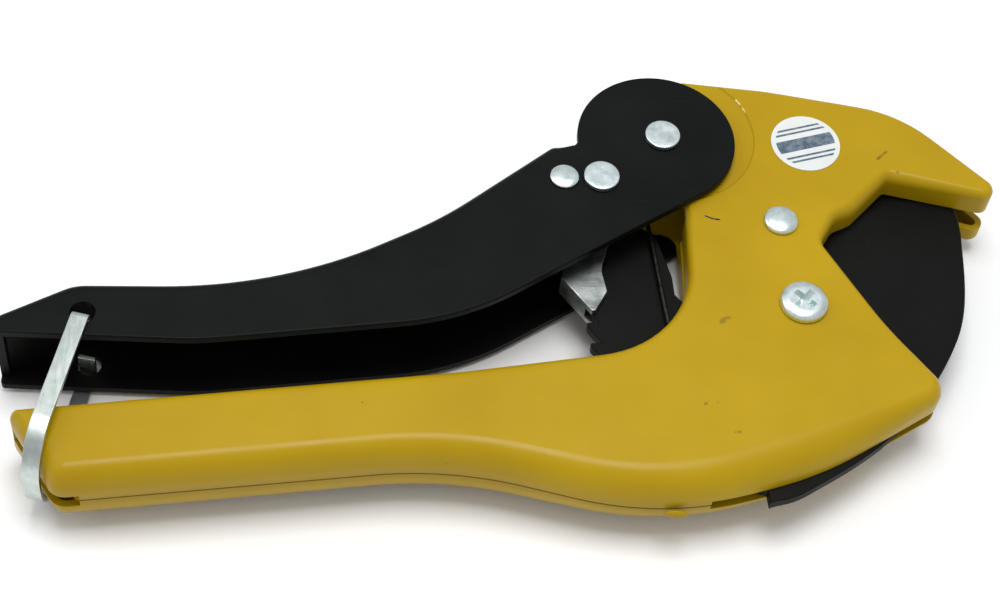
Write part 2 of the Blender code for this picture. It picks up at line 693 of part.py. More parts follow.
def coil_path(centre, radius, start, end, low, high, steps_per_turn=12):
    """A helix from one angle and height to another."""
    steps = ceil(abs(end - start) / 360 * steps_per_turn)
    path = []
    for i in range(steps + 1):
        x, y = polar(centre, radius, start + (end - start) * i / steps)
        path.append((x, y, low + (high - low) * i / steps))
    return path


def add_lever_spring(frame, material):
    """Coil round the lever's sleeve, one leg on the neck of the body, one under the pawl's spacer."""
    to_foot = subtract(LEVER_SPRING_FOOT, LEVER_PIVOT)
    start = degrees(atan2(to_foot[1], to_foot[0]) - acos(LEVER_COIL / hypot(*to_foot))) % 360
    to_pawl = subtract(PAWL_PIVOT, LEVER_PIVOT)
    reach = hypot(*to_pawl)
    bearing = PAWL_SPACER_RADIUS + LEVER_WIRE + GAP
    slant = degrees(asin((LEVER_COIL - bearing) / reach))
    leg = degrees(atan2(to_pawl[1], to_pawl[0])) % 360 - slant
    end = leg + 90 - 3 * 360
    path = coil_path(LEVER_PIVOT, LEVER_COIL, start, end, LEVER_COIL_LOW, LEVER_COIL_HIGH)
    foot = (*LEVER_SPRING_FOOT, LEVER_COIL_LOW)
    tip = (*polar(path[-1][:2], reach + 3.0, leg), LEVER_COIL_HIGH)
    add_piece("lever_spring", wire([foot] + path + [tip], LEVER_WIRE), frame, material)


def add_pawl_spring(axis, material):
    """Coil round the spring pin, one leg on the back of the pawl, one along the lever's web."""
    start, end = -12.0, 119.0 + 2 * 360
    path = coil_path(SPRING_PIN, PAWL_COIL, start, end, -PAWL_COIL_HALF, PAWL_COIL_HALF)
    pawl_leg = (*polar(path[0][:2], PAWL_SPRING_LEG, start - 90), -PAWL_COIL_HALF)
    web_leg = (*polar(path[-1][:2], WEB_SPRING_LEG, end + 90), PAWL_COIL_HALF)
    add_piece("pawl_spring", wire([pawl_leg] + path + [web_leg], PAWL_WIRE), axis, material)


def add_strap(axis, material):
    """A flat strap bent to a U, with its two ends hooked into the lever."""
    bar = Vector(HEEL) + Vector(STRAP_BAR_OFFSET)
    leg = bar - Vector(STRAP_PIVOT)
    length = leg.length
    half = LEVER_OUTER + 0.3 + STRAP_THICKNESS / 2
    hook_bend = 1.1
    bend = STRAP_BEND
    # One half of the middle line, as distance along the leg and height, from the hook to the bar.
    seat = STRAP_SEAT
    line = [(seat, half - STRAP_HOOK - hook_bend)]
    for turn in (0, pi / 6, pi / 3):
        line.append((seat + hook_bend - hook_bend * cos(turn), half - hook_bend + hook_bend * sin(turn)))
    line.append((seat + hook_bend, half))
    turns = [pi / 2 * i / 6 for i in range(7)]
    line += [(length - bend + bend * sin(a), half - bend + bend * cos(a)) for a in turns]
    line += [(s, -z) for s, z in reversed(line)]
    outer = offset_curve(line, STRAP_THICKNESS / 2)
    inner = offset_curve(line, -STRAP_THICKNESS / 2)
    bm = prism(outer + inner[::-1], -STRAP_WIDTH / 2, STRAP_WIDTH / 2)
    along = leg.normalized()
    frame = Matrix(((along.x, 0, along.y), (along.y, 0, -along.x), (0, 1, 0))).to_4x4()
    bmesh.ops.transform(bm, matrix=Matrix.Translation((*STRAP_PIVOT, 0.0)) @ frame, verts=bm.verts)
    bmesh.ops.recalc_face_normals(bm, faces=bm.faces)
    strap = add_piece("latch_strap", bm, axis, material)
    bevel = strap.modifiers.new("edges", "BEVEL")
    bevel.width = 0.15 * MM
    bevel.segments = 1
    bevel.limit_method = "ANGLE"
    bevel.angle_limit = radians(60)


def add_label(frame, material):
    low = BODY_HALF + GAP
    add_piece("label", prism(disc(LABEL_CENTRE, LABEL_RADIUS, 48), low, low + LABEL_THICKNESS), frame, material)


def stand_on_origin(frame):
    """Moves the whole tool so that it stands on z = 0 with its box centred over the origin."""
    bpy.context.view_layer.update()
    graph = bpy.context.evaluated_depsgraph_get()
    corners = []
    for obj in bpy.context.scene.objects:
        if obj.type == "MESH" and not obj.hide_render:
            solid = obj.evaluated_get(graph)
            corners += [solid.matrix_world @ Vector(corner) for corner in solid.bound_box]
    low = [min(c[i] for c in corners) for i in range(3)]
    high = [max(c[i] for c in corners) for i in range(3)]
    frame.location = (-(low[0] + high[0]) / 2, -(low[1] + high[1]) / 2, -low[2])


def main():
    for obj in list(bpy.data.objects):
        bpy.data.objects.remove(obj, do_unlink=True)

    enamel = make_material("yellow_enamel", (0.58, 0.36, 0.012), 0.32, 0.0)
    paint = make_material("black_paint", (0.012, 0.013, 0.014), 0.38, 0.0)
    blackened = make_material("blackened_steel", (0.02, 0.021, 0.023), 0.5, 0.6)
    zinc = make_material("zinc_plate", (0.62, 0.65, 0.66), 0.34, 1.0)
    steel = make_material("bright_steel", (0.5, 0.51, 0.52), 0.3, 1.0)
    spring_steel = make_material("spring_steel", (0.12, 0.12, 0.12), 0.4, 1.0)
    print_white = make_material("label_print", (0.75, 0.78, 0.76), 0.35, 0.0)

    frame = make_axis("tool_frame", (0.0, 0.0))
    blade_axis = make_axis("blade_axis", (0.0, 0.0), frame)
    lever_axis = make_axis("lever_axis", LEVER_PIVOT, frame)
    pawl_axis = make_axis("pawl_axis", PAWL_PIVOT, lever_axis)
    strap_axis = make_axis("strap_axis", STRAP_PIVOT, lever_axis)

    add_shell("front_shell", frame, enamel, 1)
    add_shell("rear_shell", frame, enamel, -1)
    add_body_fasteners(frame, zinc, steel)
    add_blade_axle(frame, zinc, steel)
    add_lever_spring(frame, spring_steel)
    add_label(frame, print_white)
    add_blade(blade_axis, blackened)
    add_lever(lever_axis, paint)
    add_lever_fasteners(lever_axis, zinc, steel)
    add_pawl_spring(lever_axis, spring_steel)
    add_pawl(pawl_axis, steel)
    add_strap(strap_axis, zinc)
    stand_on_origin(frame)


main()
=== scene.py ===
"""Looks of the ratchet pipe cutter: fine meshes, materials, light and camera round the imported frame.

Shapes are drawn in millimetres with the blade's axis as origin, as the part is designed: +X to the
jaws, +Y away from the handle, z = 0 midway through the thickness. new_object() then puts them
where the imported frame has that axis.
"""

import json
from math import acos, asin, atan2, ceil, cos, degrees, hypot, pi, radians, sin, sqrt, tan

import bmesh
import bpy
from mathutils import Matrix, Vector


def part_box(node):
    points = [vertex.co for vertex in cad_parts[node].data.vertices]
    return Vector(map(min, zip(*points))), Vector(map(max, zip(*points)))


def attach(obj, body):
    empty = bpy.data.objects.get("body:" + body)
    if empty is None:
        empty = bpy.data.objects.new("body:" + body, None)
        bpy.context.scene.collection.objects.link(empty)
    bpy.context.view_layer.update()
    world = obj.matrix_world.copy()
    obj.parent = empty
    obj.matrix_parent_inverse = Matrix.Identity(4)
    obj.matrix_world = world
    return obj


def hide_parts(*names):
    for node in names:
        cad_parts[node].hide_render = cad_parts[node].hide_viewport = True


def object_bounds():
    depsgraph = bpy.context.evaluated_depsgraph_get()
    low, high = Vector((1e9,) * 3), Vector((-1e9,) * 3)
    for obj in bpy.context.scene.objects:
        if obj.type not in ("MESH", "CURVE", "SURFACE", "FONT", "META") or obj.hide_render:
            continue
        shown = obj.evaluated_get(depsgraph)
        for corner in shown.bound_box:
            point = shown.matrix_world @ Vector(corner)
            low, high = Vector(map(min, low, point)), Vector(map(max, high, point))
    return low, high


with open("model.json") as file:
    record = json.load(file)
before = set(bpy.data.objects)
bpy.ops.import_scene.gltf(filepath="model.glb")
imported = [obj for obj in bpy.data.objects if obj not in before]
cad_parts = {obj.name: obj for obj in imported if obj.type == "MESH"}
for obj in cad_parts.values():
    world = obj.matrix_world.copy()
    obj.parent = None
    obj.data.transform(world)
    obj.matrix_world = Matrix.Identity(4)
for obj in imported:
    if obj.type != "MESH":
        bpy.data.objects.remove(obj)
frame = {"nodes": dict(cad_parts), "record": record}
cad_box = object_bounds()

MM = 0.001
JOINTS = {joint["name"]: Vector(joint["pos_m"]) for joint in frame["record"]["behaviour"]["joints"]}
ORIGIN = JOINTS["blade_pivot"]


def from_row(point):
    """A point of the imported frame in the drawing's millimetres."""
    return (Vector(point) - ORIGIN) / MM


def box_of(node):
    low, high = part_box(node)
    return from_row(low), from_row(high)


def pivot_of(joint):
    return tuple(from_row(JOINTS[joint]).xy)


def centre_of(node):
    low, high = box_of(node)
    return tuple(((low + high) / 2).xy)


def half_width(node):
    low, high = box_of(node)
    return (high.x - low.x) / 2


# Sizes that the frame gives.
LEVER_PIVOT = pivot_of("lever_pivot")
PAWL_PIVOT = pivot_of("pawl_pivot")
STRAP_PIVOT = pivot_of("latch_pivot")
SPRING_PIN = centre_of("spring_pin")
FRAME_RIVET = centre_of("frame_rivet")
LABEL_CENTRE = centre_of("label")
BODY_HALF = box_of("front_shell")[1].z
LEVER_OUTER = box_of("lever")[1].z
LEVER_LEFT = box_of("lever")[0].x
TOOL_HALF = box_of("lever_pin")[1].z
BLADE_HALF = box_of("blade")[1].z
PAWL_HALF = box_of("pawl")[1].z

# Sizes of the sheet and of the fine shapes.
BODY_SHEET = 1.5
FACE_INNER = BODY_HALF - BODY_SHEET
SEAM_HALF = 0.15
RIM_ROUND = 0.25
EDGE_DROP = 1.4
SLOT_HALF = BLADE_HALF + 0.25
RECESS_CENTRE = (LEVER_PIVOT[0] + 2.5, LEVER_PIVOT[1] + 3.2)
RECESS_RADIUS = 19.2
RECESS_DEPTH = 0.5
LUG_RADIUS = 14.0
LUG_RELIEF = 0.5
END_GAP_HALF = 1.9
LEVER_SHEET = 1.8
LEVER_INNER = LEVER_OUTER - LEVER_SHEET
LEVER_BEND = 2.2
LEVER_EDGE = 0.35
LEVER_HEAD = (LEVER_PIVOT[0] - 1.3, LEVER_PIVOT[1] - 0.2)
LEVER_HEAD_RADIUS = 18.0
PIN_PLAY = 0.15
LEVER_PIN_RADIUS = 3.0
PAWL_PIN_RADIUS = 2.5
SPRING_PIN_RADIUS = 2.0
FRAME_RIVET_RADIUS = 2.4
FLAT_HEAD_RADIUS = 4.0
SCREW_RADIUS = 3.0
THREAD_PITCH = 0.4
NUT_FLATS = 10.0
HEEL = (-156.1, -52.0)
NOSE = (HEEL[0] - 11.5, HEEL[1] + 17.7)
REAR_JAW_RIM = 3.6

# The body's outline, counter-clockwise from the nose of the hook: x, y, radius, edge width.
BODY_CORNERS = [
    (52.0, 31.4, 2.6, 1.4),
    (27.4, 57.0, 30.0, 2.2),
    (-4.0, 61.8, 60.0, 2.2),
    (-26.0, 63.1, 2.6, 2.0),
    (-26.0, LEVER_PIVOT[1] + LUG_RADIUS, 1.0, 2.0),
    (LEVER_PIVOT[0] - LUG_RADIUS, LEVER_PIVOT[1] + LUG_RADIUS, 0.97 * LUG_RADIUS, 1.6),
    (LEVER_PIVOT[0] - LUG_RADIUS, LEVER_PIVOT[1] - LUG_RADIUS, 0.97 * LUG_RADIUS, 1.6),
    (-24.6, LEVER_PIVOT[1] - LUG_RADIUS, 4.0, 1.6),
    (-24.3, -11.1, 24.4, 2.0),
    (-75.0, -19.3, 120.0, 4.2),
    (NOSE[0], NOSE[1], 1.6, 2.8),
    (HEEL[0], HEEL[1], 4.0, 4.6),
    (-76.3, -40.2, 86.0, 5.0),
    (-31.4, -50.3, 68.0, 6.2),
    (1.8, -39.3, 80.0, 8.0),
    (31.2, -19.9, 4.6, 2.6),
    (19.1, -5.4, 90.0, 1.8),
    (5.7, 17.9, 3.0, 1.8),
    (9.5, 25.0, 4.0, 2.2),
    (14.0, 27.3, 7.0, 2.6),
    (22.6, 37.2, 1.2, 2.2),
]

# Corners where the rear half is pressed differently, by their place in the list.
REAR_CORNERS = {0: (52.0, 29.9, 2.6, 1.4), 15: (31.2, -19.9, 4.6, 8.0)}

# The lever's upper and lower edges, joined by the round head: x, y and radius.
LEVER_UPPER = [
    (-49.6, 39.4, 0.9),
    (-54.5, 39.5, 3.0),
    (-79.6, 17.6, 90.0),
    (-113.7, -2.5, 100.0),
    (HEEL[0] - 0.5, -4.6, 10.0),
    (LEVER_LEFT, -13.7, 2.6),
]
LEVER_LOWER = [(LEVER_LEFT, -18.1, 0.9), (-130.0, -17.9, 60.0), (-74.1, -9.1, 60.0)]
LEVER_NOTCH_ANGLE = 187.0

# Blade.
CUTTING_EDGE = [(6.0, 21.5), (14.0, 31.5), (25.0, 38.6), (38.6, 38.4)]
BLADE_BACK = [(39.9, 25.0), (36.3, -0.9), (20.0, -26.5), (0.0, -42.1), (-9.2, -46.0)]
EDGE_BEVEL = 4.0
EDGE_THICKNESS = 0.2
BLADE_BORE = 5.15
TOOTH_TIP_RADIUS = 46.6
TOOTH_DEPTH = 2.6
TOOTH_PITCH = 6.8
TOOTH_LAND = 1.4
FIRST_TOOTH = 148.7
TOOTH_COUNT = 15
HUB_RADIUS = 15.0
BLADE_END = 258.7
# The tail's outline: share of the tooth tips' radius, and angle.
BLADE_TAIL = [
    (0.98, 144.2),
    (0.805, 144.2),
    (0.73, 149.0),
    (0.631, 158.0),
    (0.592, 167.0),
    (0.526, 172.0),
    (0.376, 174.0),
]

# Pawl: its outline below the boss, measured from the blade's axis.
PAWL_CORNERS = [
    (-52.3, 8.2, 0.8),
    (-45.2, -1.0, 0.8),
    (-42.1, 5.1, 1.2),
    (-43.3, 11.0, 6.0),
    (-40.6, 22.0, 9.0),
]
PAWL_BOSS = 4.2
PAWL_SHEET = 1.5

# Springs, strap and sticker.
LEVER_WIRE = 0.55
LEVER_COIL = 5.3
LEVER_COIL_LOW = 2.6
LEVER_COIL_HIGH = 5.9
LEVER_SPRING_FOOT = (-28.9, -2.6)
PAWL_WIRE = 0.4
PAWL_COIL = 3.0
PAWL_COIL_HALF = 1.8
STRAP_WIDTH = 3.8
STRAP_THICKNESS = 1.0
STRAP_BEND = 10.2
STRAP_BAR = (HEEL[0] - 4.9, HEEL[1] + 3.6)
STRAP_SEAT = 1.0
STRAP_HOOK = 6.0
STRAP_HOLE_RADIUS = 2.6
LABEL_PRINT_RADIUS = 6.9


# ---------------------------------------------------------------- outlines


def subtract(a, b):
    return (a[0] - b[0], a[1] - b[1])


def polar(centre, radius, angle):
    return (centre[0] + radius * cos(radians(angle)), centre[1] + radius * sin(radians(angle)))


def arc(centre, radius, start, end, steps):
    return [polar(centre, radius, start + (end - start) * i / steps) for i in range(steps + 1)]


def turn_at(before, corner, after):
    """The directions into and out of a corner, and the signed angle turned there."""
    way_in = Vector(subtract(corner, before)).normalized()
    way_out = Vector(subtract(after, corner)).normalized()
    turn = atan2(way_in.x * way_out.y - way_in.y * way_out.x, way_in.dot(way_out))
    return way_in, way_out, turn


def arc_steps(radius, turn):
    return max(4, ceil(abs(turn) / radians(6)), ceil(abs(turn) * radius / 3))


def round_corner(before, corner, after, radius, steps):
    """Points along the arc that rounds one corner."""
    way_in, _, turn = turn_at(before, corner, after)
    start = Vector(corner) - way_in * radius * tan(abs(turn) / 2)
    side = 1 if turn > 0 else -1
    centre = start + Vector((-way_in.y, way_in.x)) * radius * side
    first = atan2(start.y - centre.y, start.x - centre.x)
    angles = [first + turn * i / steps for i in range(steps + 1)]
    return [(centre.x + radius * cos(a), centre.y + radius * sin(a)) for a in angles]


def rounded_run(start, corners, end):
    """An open run of rounded corners between two plain end points, which it leaves out."""
    chain = [start] + corners + [end]
    points = []
    for i, (x, y, radius) in enumerate(corners):
        before = chain[i][:2]
        after = chain[i + 2][:2]
        turn = turn_at(before, (x, y), after)[2]
        points += round_corner(before, (x, y), after, radius, arc_steps(radius, turn))
    return points


def inset_ring(corners, insets):
    """The rounded outline moved inwards by its own amount at each corner, with as many points."""
    count = len(corners)
    moved = []
    for i, (x, y, _, _) in enumerate(corners):
        way_in, way_out, turn = turn_at(corners[i - 1][:2], (x, y), corners[(i + 1) % count][:2])
        inwards = Vector((-way_in.y, way_in.x)) + Vector((-way_out.y, way_out.x))
        moved.append(Vector((x, y)) + inwards.normalized() * insets[i] / cos(turn / 2))
    points = []
    for i, (x, y, radius, _) in enumerate(corners):
        turn = turn_at(corners[i - 1][:2], (x, y), corners[(i + 1) % count][:2])[2]
        new_radius = max(radius - insets[i] * (1 if turn > 0 else -1), 0.06)
        steps = arc_steps(radius, turn)
        points += round_corner(moved[i - 1], moved[i], moved[(i + 1) % count], new_radius, steps)
    return points


def spline(points, steps):
    """A smooth open curve through the points."""
    ends = [2 * Vector(points[0]) - Vector(points[1]), 2 * Vector(points[-1]) - Vector(points[-2])]
    knots = [ends[0]] + [Vector(p) for p in points] + [ends[1]]
    curve = []
    for i in range(1, len(knots) - 2):
        a, b, c, d = knots[i - 1 : i + 3]
        for step in range(steps):
            t = step / steps
            linear = (c - a) * t
            square = (2 * a - 5 * b + 4 * c - d) * t**2
            cube = (3 * b - a - 3 * c + d) * t**3
            curve.append(tuple((2 * b + linear + square + cube) / 2))
    return curve + [tuple(points[-1])]


def offset_curve(points, distances, closed=False):
    """A curve moved to its left, each point by its own distance."""
    count = len(points)
    if not isinstance(distances, list):
        distances = [distances] * count
    moved = []
    for i, point in enumerate(points):
        after = (i + 1) % count if closed else min(i + 1, count - 1)
        before = i - 1 if closed else max(i - 1, 0)
        along = Vector(points[after]) - Vector(points[before])
        moved.append(tuple(Vector(point) + Vector((-along.y, along.x)).normalized() * distances[i]))
    return moved


def area(points):
    return sum(a[0] * b[1] - b[0] * a[1] for a, b in zip(points, points[1:] + points[:1])) / 2


# ---------------------------------------------------------------- solids


def ring(bm, outline, z):
    heights = z if isinstance(z, list) else [z] * len(outline)
    return [bm.verts.new((x, y, height)) for (x, y), height in zip(outline, heights)]


def bridge(bm, lower, upper):
    count = len(lower)
    for i in range(count):
        after = (i + 1) % count
        bm.faces.new((lower[i], lower[after], upper[after], upper[i]))


def loft(rings, capped=True):
    """A closed solid through rings of points, in order, each counter-clockwise and equally long."""
    bm = bmesh.new()
    made = [ring(bm, outline, z) for outline, z in rings]
    for lower, upper in zip(made, made[1:]):
        bridge(bm, lower, upper)
    if capped:
        bm.faces.new(made[0][::-1])
        bm.faces.new(made[-1])
    else:
        bridge(bm, made[-1], made[0])
    return bm


def prism(outline, low, high):
    if area(outline) < 0:
        outline = outline[::-1]
    return loft([(outline, low), (outline, high)])


def box(low, high):
    base = [(low[0], low[1]), (high[0], low[1]), (high[0], high[1]), (low[0], high[1])]
    return prism(base, low[2], high[2])


def disc(centre, radius, segments=64):
    return [polar(centre, radius, 360 * i / segments) for i in range(segments)]


def turned(centre, profile, segments=64):
    """A solid turned about a vertical axis, from radius and height pairs that rise."""
    return loft([(disc(centre, radius, segments), z) for radius, z in profile])


def mirrored(half):
    """A profile of the upper side, with its twin below."""
    return [(radius, -z) for radius, z in reversed(half)] + half


def wire(path, radius, sides=14):
    """A round wire along a path of 3-D points, with rounded ends."""
    bm = bmesh.new()
    points = [Vector(p) for p in path]
    first = (points[0] - points[1]).normalized() * radius * 0.4
    last = (points[-1] - points[-2]).normalized() * radius * 0.4
    points = [points[0] + first] + points + [points[-1] + last]
    normal = None
    rings = []
    for i, point in enumerate(points):
        along = (points[min(i + 1, len(points) - 1)] - points[max(i - 1, 0)]).normalized()
        start = along.orthogonal() if normal is None else normal - along * normal.dot(along)
        normal = start.normalized()
        across = along.cross(normal)
        reach = radius * (0.6 if i in (0, len(points) - 1) else 1.0)
        turns = [2 * pi * k / sides for k in range(sides)]
        rings.append([bm.verts.new(point + (normal * cos(a) + across * sin(a)) * reach) for a in turns])
    for lower, upper in zip(rings, rings[1:]):
        bridge(bm, lower, upper)
    bm.faces.new(rings[0][::-1])
    bm.faces.new(rings[-1])
    return bm


def mirror_z(bm):
    bmesh.ops.scale(bm, vec=(1, 1, -1), verts=bm.verts)
    bmesh.ops.reverse_faces(bm, faces=bm.faces)
    return bm


# ---------------------------------------------------------------- pieces


def new_object(name, bm):
    """A mesh object from a solid drawn in millimetres. Its place is in its mesh."""
    bmesh.ops.scale(bm, vec=(MM, MM, MM), verts=bm.verts)
    bmesh.ops.translate(bm, vec=ORIGIN, verts=bm.verts)
    mesh = bpy.data.meshes.new(name)
    bm.to_mesh(mesh)
    bm.free()
    obj = bpy.data.objects.new(name, mesh)
    bpy.context.scene.collection.objects.link(obj)
    return obj


def cut_away(piece, solids):
    """Takes solids away from a piece, one after the other, and keeps only the finished mesh."""
    cutters = []
    for i, bm in enumerate(solids):
        cutter = new_object(f"cutter_{i}", bm)
        modifier = piece.modifiers.new(cutter.name, "BOOLEAN")
        modifier.object = cutter
        modifier.solver = "EXACT"
        cutters.append(cutter)
    bake_modifiers(piece)
    for cutter in cutters:
        bpy.data.objects.remove(cutter, do_unlink=True)


def bake_modifiers(piece):
    """Turns the piece's modifiers into its mesh."""
    bpy.context.view_layer.update()
    graph = bpy.context.evaluated_depsgraph_get()
    mesh = bpy.data.meshes.new_from_object(piece.evaluated_get(graph))
    piece.modifiers.clear()
    piece.data = mesh


def soften(piece, width, segments=2, angle=40):
    """Rounds the piece's sharp edges."""
    bevel = piece.modifiers.new("edges", "BEVEL")
    bevel.width = width * MM
    bevel.segments = segments
    bevel.limit_method = "ANGLE"
    bevel.angle_limit = radians(angle)
    bevel.harden_normals = False
    bake_modifiers(piece)


def finish(piece, material, body, replaced=(), angle=38):
    """Shading, material, the body that the piece moves with, and the CAD nodes it stands for."""
    piece.data.materials.clear()
    piece.data.materials.append(material)
    piece.data.shade_smooth()
    piece.data.set_sharp_from_angle(angle=radians(angle))
    weighted = piece.modifiers.new("normals", "WEIGHTED_NORMAL")
    weighted.keep_sharp = True
    weighted.weight = 80
    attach(piece, body)
    if replaced:
        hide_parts(*replaced)
    return piece


def roll(corners, inset, top, steps):
    """Rings that roll from a wall over to a flat face: outline and height of each."""
    edges = [max(corner[3] - inset, 0.3) for corner in corners]
    rings = []
    for step in range(steps + 1):
        angle = radians(90 * step / steps)
        insets = [inset + edge * (1 - cos(angle)) for edge in edges]
        heights = []
        for i, (x, y, radius, _) in enumerate(corners):
            after = corners[(i + 1) % len(corners)]
            turn = turn_at(corners[i - 1][:2], (x, y), after[:2])[2]
            drop = min(EDGE_DROP * edges[i], top - SEAM_HALF - RIM_ROUND - 0.15)
            heights += [top - drop * (1 - sin(angle))] * (arc_steps(radius, turn) + 1)
        rings.append((inset_ring(corners, insets), heights))
    return rings


def shell_solid(corners):
    """The upper half of the body: a tray with rolled edges, rim down, of one sheet thickness."""
    count = len(corners)
    rings = [(inset_ring(corners, [RIM_ROUND] * count), SEAM_HALF)]
    rings.append((inset_ring(corners, [RIM_ROUND * 0.3] * count), SEAM_HALF + RIM_ROUND * 0.3))
    rings += roll(corners, 0.0, BODY_HALF, 12)
    face_ring = len(rings) - 1
    rings += roll(corners, BODY_SHEET, FACE_INNER, 6)[::-1]
    rings.append((inset_ring(corners, [BODY_SHEET] * count), SEAM_HALF))
    bm = bmesh.new()
    made = [ring(bm, outline, z) for outline, z in rings]
    for i in range(len(made) - 1):
        if i != face_ring:
            bridge(bm, made[i], made[i + 1])
    bridge(bm, made[-1], made[0])
    bm.faces.new(made[face_ring])
    bm.faces.new(made[face_ring + 1][::-1])
    return bm


def build_shell(name, side, material):
    """One half of the body, with the recess round the lever, the blade's slots and the open end."""
    floor = BODY_HALF - RECESS_DEPTH
    recess = [
        (RECESS_RADIUS - 0.35, floor),
        (RECESS_RADIUS - 0.1, floor + 0.08),
        (RECESS_RADIUS + 0.15, BODY_HALF - 0.05),
        (RECESS_RADIUS + 0.4, BODY_HALF + 0.1),
        (RECESS_RADIUS + 0.4, BODY_HALF + 5),
    ]
    end = [
        (HEEL[0] + 5.0, HEEL[1] - 6.0),
        (HEEL[0] + 5.0, HEEL[1] + 1.4),
        (HEEL[0] + 2.6, HEEL[1] + 2.6),
        (NOSE[0] + 4.0, NOSE[1] - 1.8),
        (NOSE[0] - 5.0, NOSE[1] - 1.8),
        (NOSE[0] - 5.0, HEEL[1] - 6.0),
    ]
    lug = FACE_INNER - LUG_RELIEF
    solids = [
        turned(RECESS_CENTRE, recess, 180),
        box((-21.5, -60.0, -SLOT_HALF), (60.0, 40.0, SLOT_HALF)),
        box((-52.0, -25.0, -SLOT_HALF), (-20.0, 25.0, SLOT_HALF)),
        box((-60.0, 23.0, -lug), (-21.0, 58.5, lug)),
        prism(end, -END_GAP_HALF, END_GAP_HALF),
    ]
    corners = BODY_CORNERS
    if side < 0:
        corners = [REAR_CORNERS.get(i, corner) for i, corner in enumerate(BODY_CORNERS)]
        solids.append(box((36.0, 20.0, 0.0), (60.0, 45.0, REAR_JAW_RIM)))
    bm = shell_solid(corners)
    if side < 0:
        mirror_z(bm)
        solids = [mirror_z(solid) for solid in solids]
    shell = new_object(name, bm)
    cut_away(shell, solids)
    return finish(shell, material, "body", [name.removesuffix("_skin")])


def build_weld_bead(material):
    """The small uneven bead where the two halves meet behind the blade's slot."""
    bm = bmesh.new()
    bmesh.ops.create_uvsphere(bm, u_segments=28, v_segments=16, radius=1.0)
    for vert in bm.verts:
        wobble = 1 + 0.12 * sin(5 * vert.co.x + 2) * cos(4 * vert.co.y)
        vert.co = (vert.co.x * 2.3 * wobble, vert.co.y * 0.8, vert.co.z * 0.95 * wobble)
    bmesh.ops.rotate(bm, cent=(0, 0, 0), matrix=Matrix.Rotation(radians(-3), 3, "Z"), verts=bm.verts)
    bmesh.ops.translate(bm, vec=(-29.0, -48.75, 0.0), verts=bm.verts)
    return finish(new_object("seam_bead", bm), material, "body")


def lever_outline():
    """The flange's outline, counter-clockwise: the round head, the channel's back, the lower edge."""
    away = subtract(LEVER_LOWER[-1], LEVER_HEAD)
    start = degrees(atan2(away[1], away[0]) + acos(LEVER_HEAD_RADIUS / hypot(*away)))
    head = arc(LEVER_HEAD, LEVER_HEAD_RADIUS, start, LEVER_NOTCH_ANGLE, 96)
    notch = rounded_run(head[-1], LEVER_UPPER[:1], LEVER_UPPER[1])
    back = rounded_run(LEVER_UPPER[0], LEVER_UPPER[1:], LEVER_LOWER[0])
    lower = rounded_run(LEVER_UPPER[-1], LEVER_LOWER, head[0])
    return head + notch, back, lower


def build_lever(material):
    """A channel bent from one sheet, open along the lower edge, with two round heads."""
    head, back, lower = lever_outline()
    outline = head + back + lower
    half = []
    for angle in (0, 12, 24, 36, 48, 56, 64, 72, 80, 90):
        inset = LEVER_BEND * (1 - cos(radians(angle)))
        z = LEVER_OUTER - LEVER_BEND * (1 - sin(radians(angle)))
        rise = max(0.0, z - (LEVER_OUTER - LEVER_EDGE))
        edge = LEVER_EDGE - sqrt(max(0.0, LEVER_EDGE**2 - rise**2))
        distances = [edge] * len(head) + [inset] * len(back) + [edge] * len(lower)
        half.append((offset_curve(outline, distances, closed=True), z))
    lever = new_object("lever_skin", loft([(points, -z) for points, z in reversed(half)] + half))

    inside = offset_curve(back, LEVER_SHEET)
    far = 60.0
    end = inside[-1][1] - 0.6
    cavity = inside + [(inside[-1][0], end), (inside[-1][0] - far, end), (inside[-1][0] - far, -far)]
    cavity += [(far, -far), (far, 2 * far), (LEVER_UPPER[0][0], 2 * far), (LEVER_UPPER[0][0], inside[0][1])]
    solids = [prism(cavity, -LEVER_INNER, LEVER_INNER)]
    rim = 0.35
    top = LEVER_OUTER
    for centre, radius in (
        (LEVER_PIVOT, LEVER_PIN_RADIUS + PIN_PLAY),
        (PAWL_PIVOT, PAWL_PIN_RADIUS + PIN_PLAY),
        (SPRING_PIN, SPRING_PIN_RADIUS + PIN_PLAY),
        (STRAP_PIVOT, STRAP_HOLE_RADIUS),
    ):
        hole = [
            (radius, top - rim),
            (radius + rim * 0.3, top - rim * 0.3),
            (radius + rim, top + 0.05),
            (radius + rim, top + 3),
        ]
        solids.append(turned(centre, mirrored(hole), 48))
    cut_away(lever, solids)
    return finish(lever, material, "lever", ["lever"])


def tooth_arc():
    """The ratchet teeth, from the tail round to the last ramp, with their corners eased."""
    root = TOOTH_TIP_RADIUS - TOOTH_DEPTH
    tip = TOOTH_TIP_RADIUS
    tooth = [
        (root + 0.25, 0.1),
        (root + 0.03, 0.5),
        (root + 0.5, 0.35),
        (tip - 0.5, 0.0),
        (tip - 0.15, 0.12),
        (tip, 0.45),
        (tip, TOOTH_LAND),
        (tip - 0.12, TOOTH_LAND + 0.35),
    ]
    points = []
    for i in range(TOOTH_COUNT):
        start = FIRST_TOOTH + i * TOOTH_PITCH
        points += [polar((0.0, 0.0), radius, start + angle) for radius, angle in tooth]
    return points


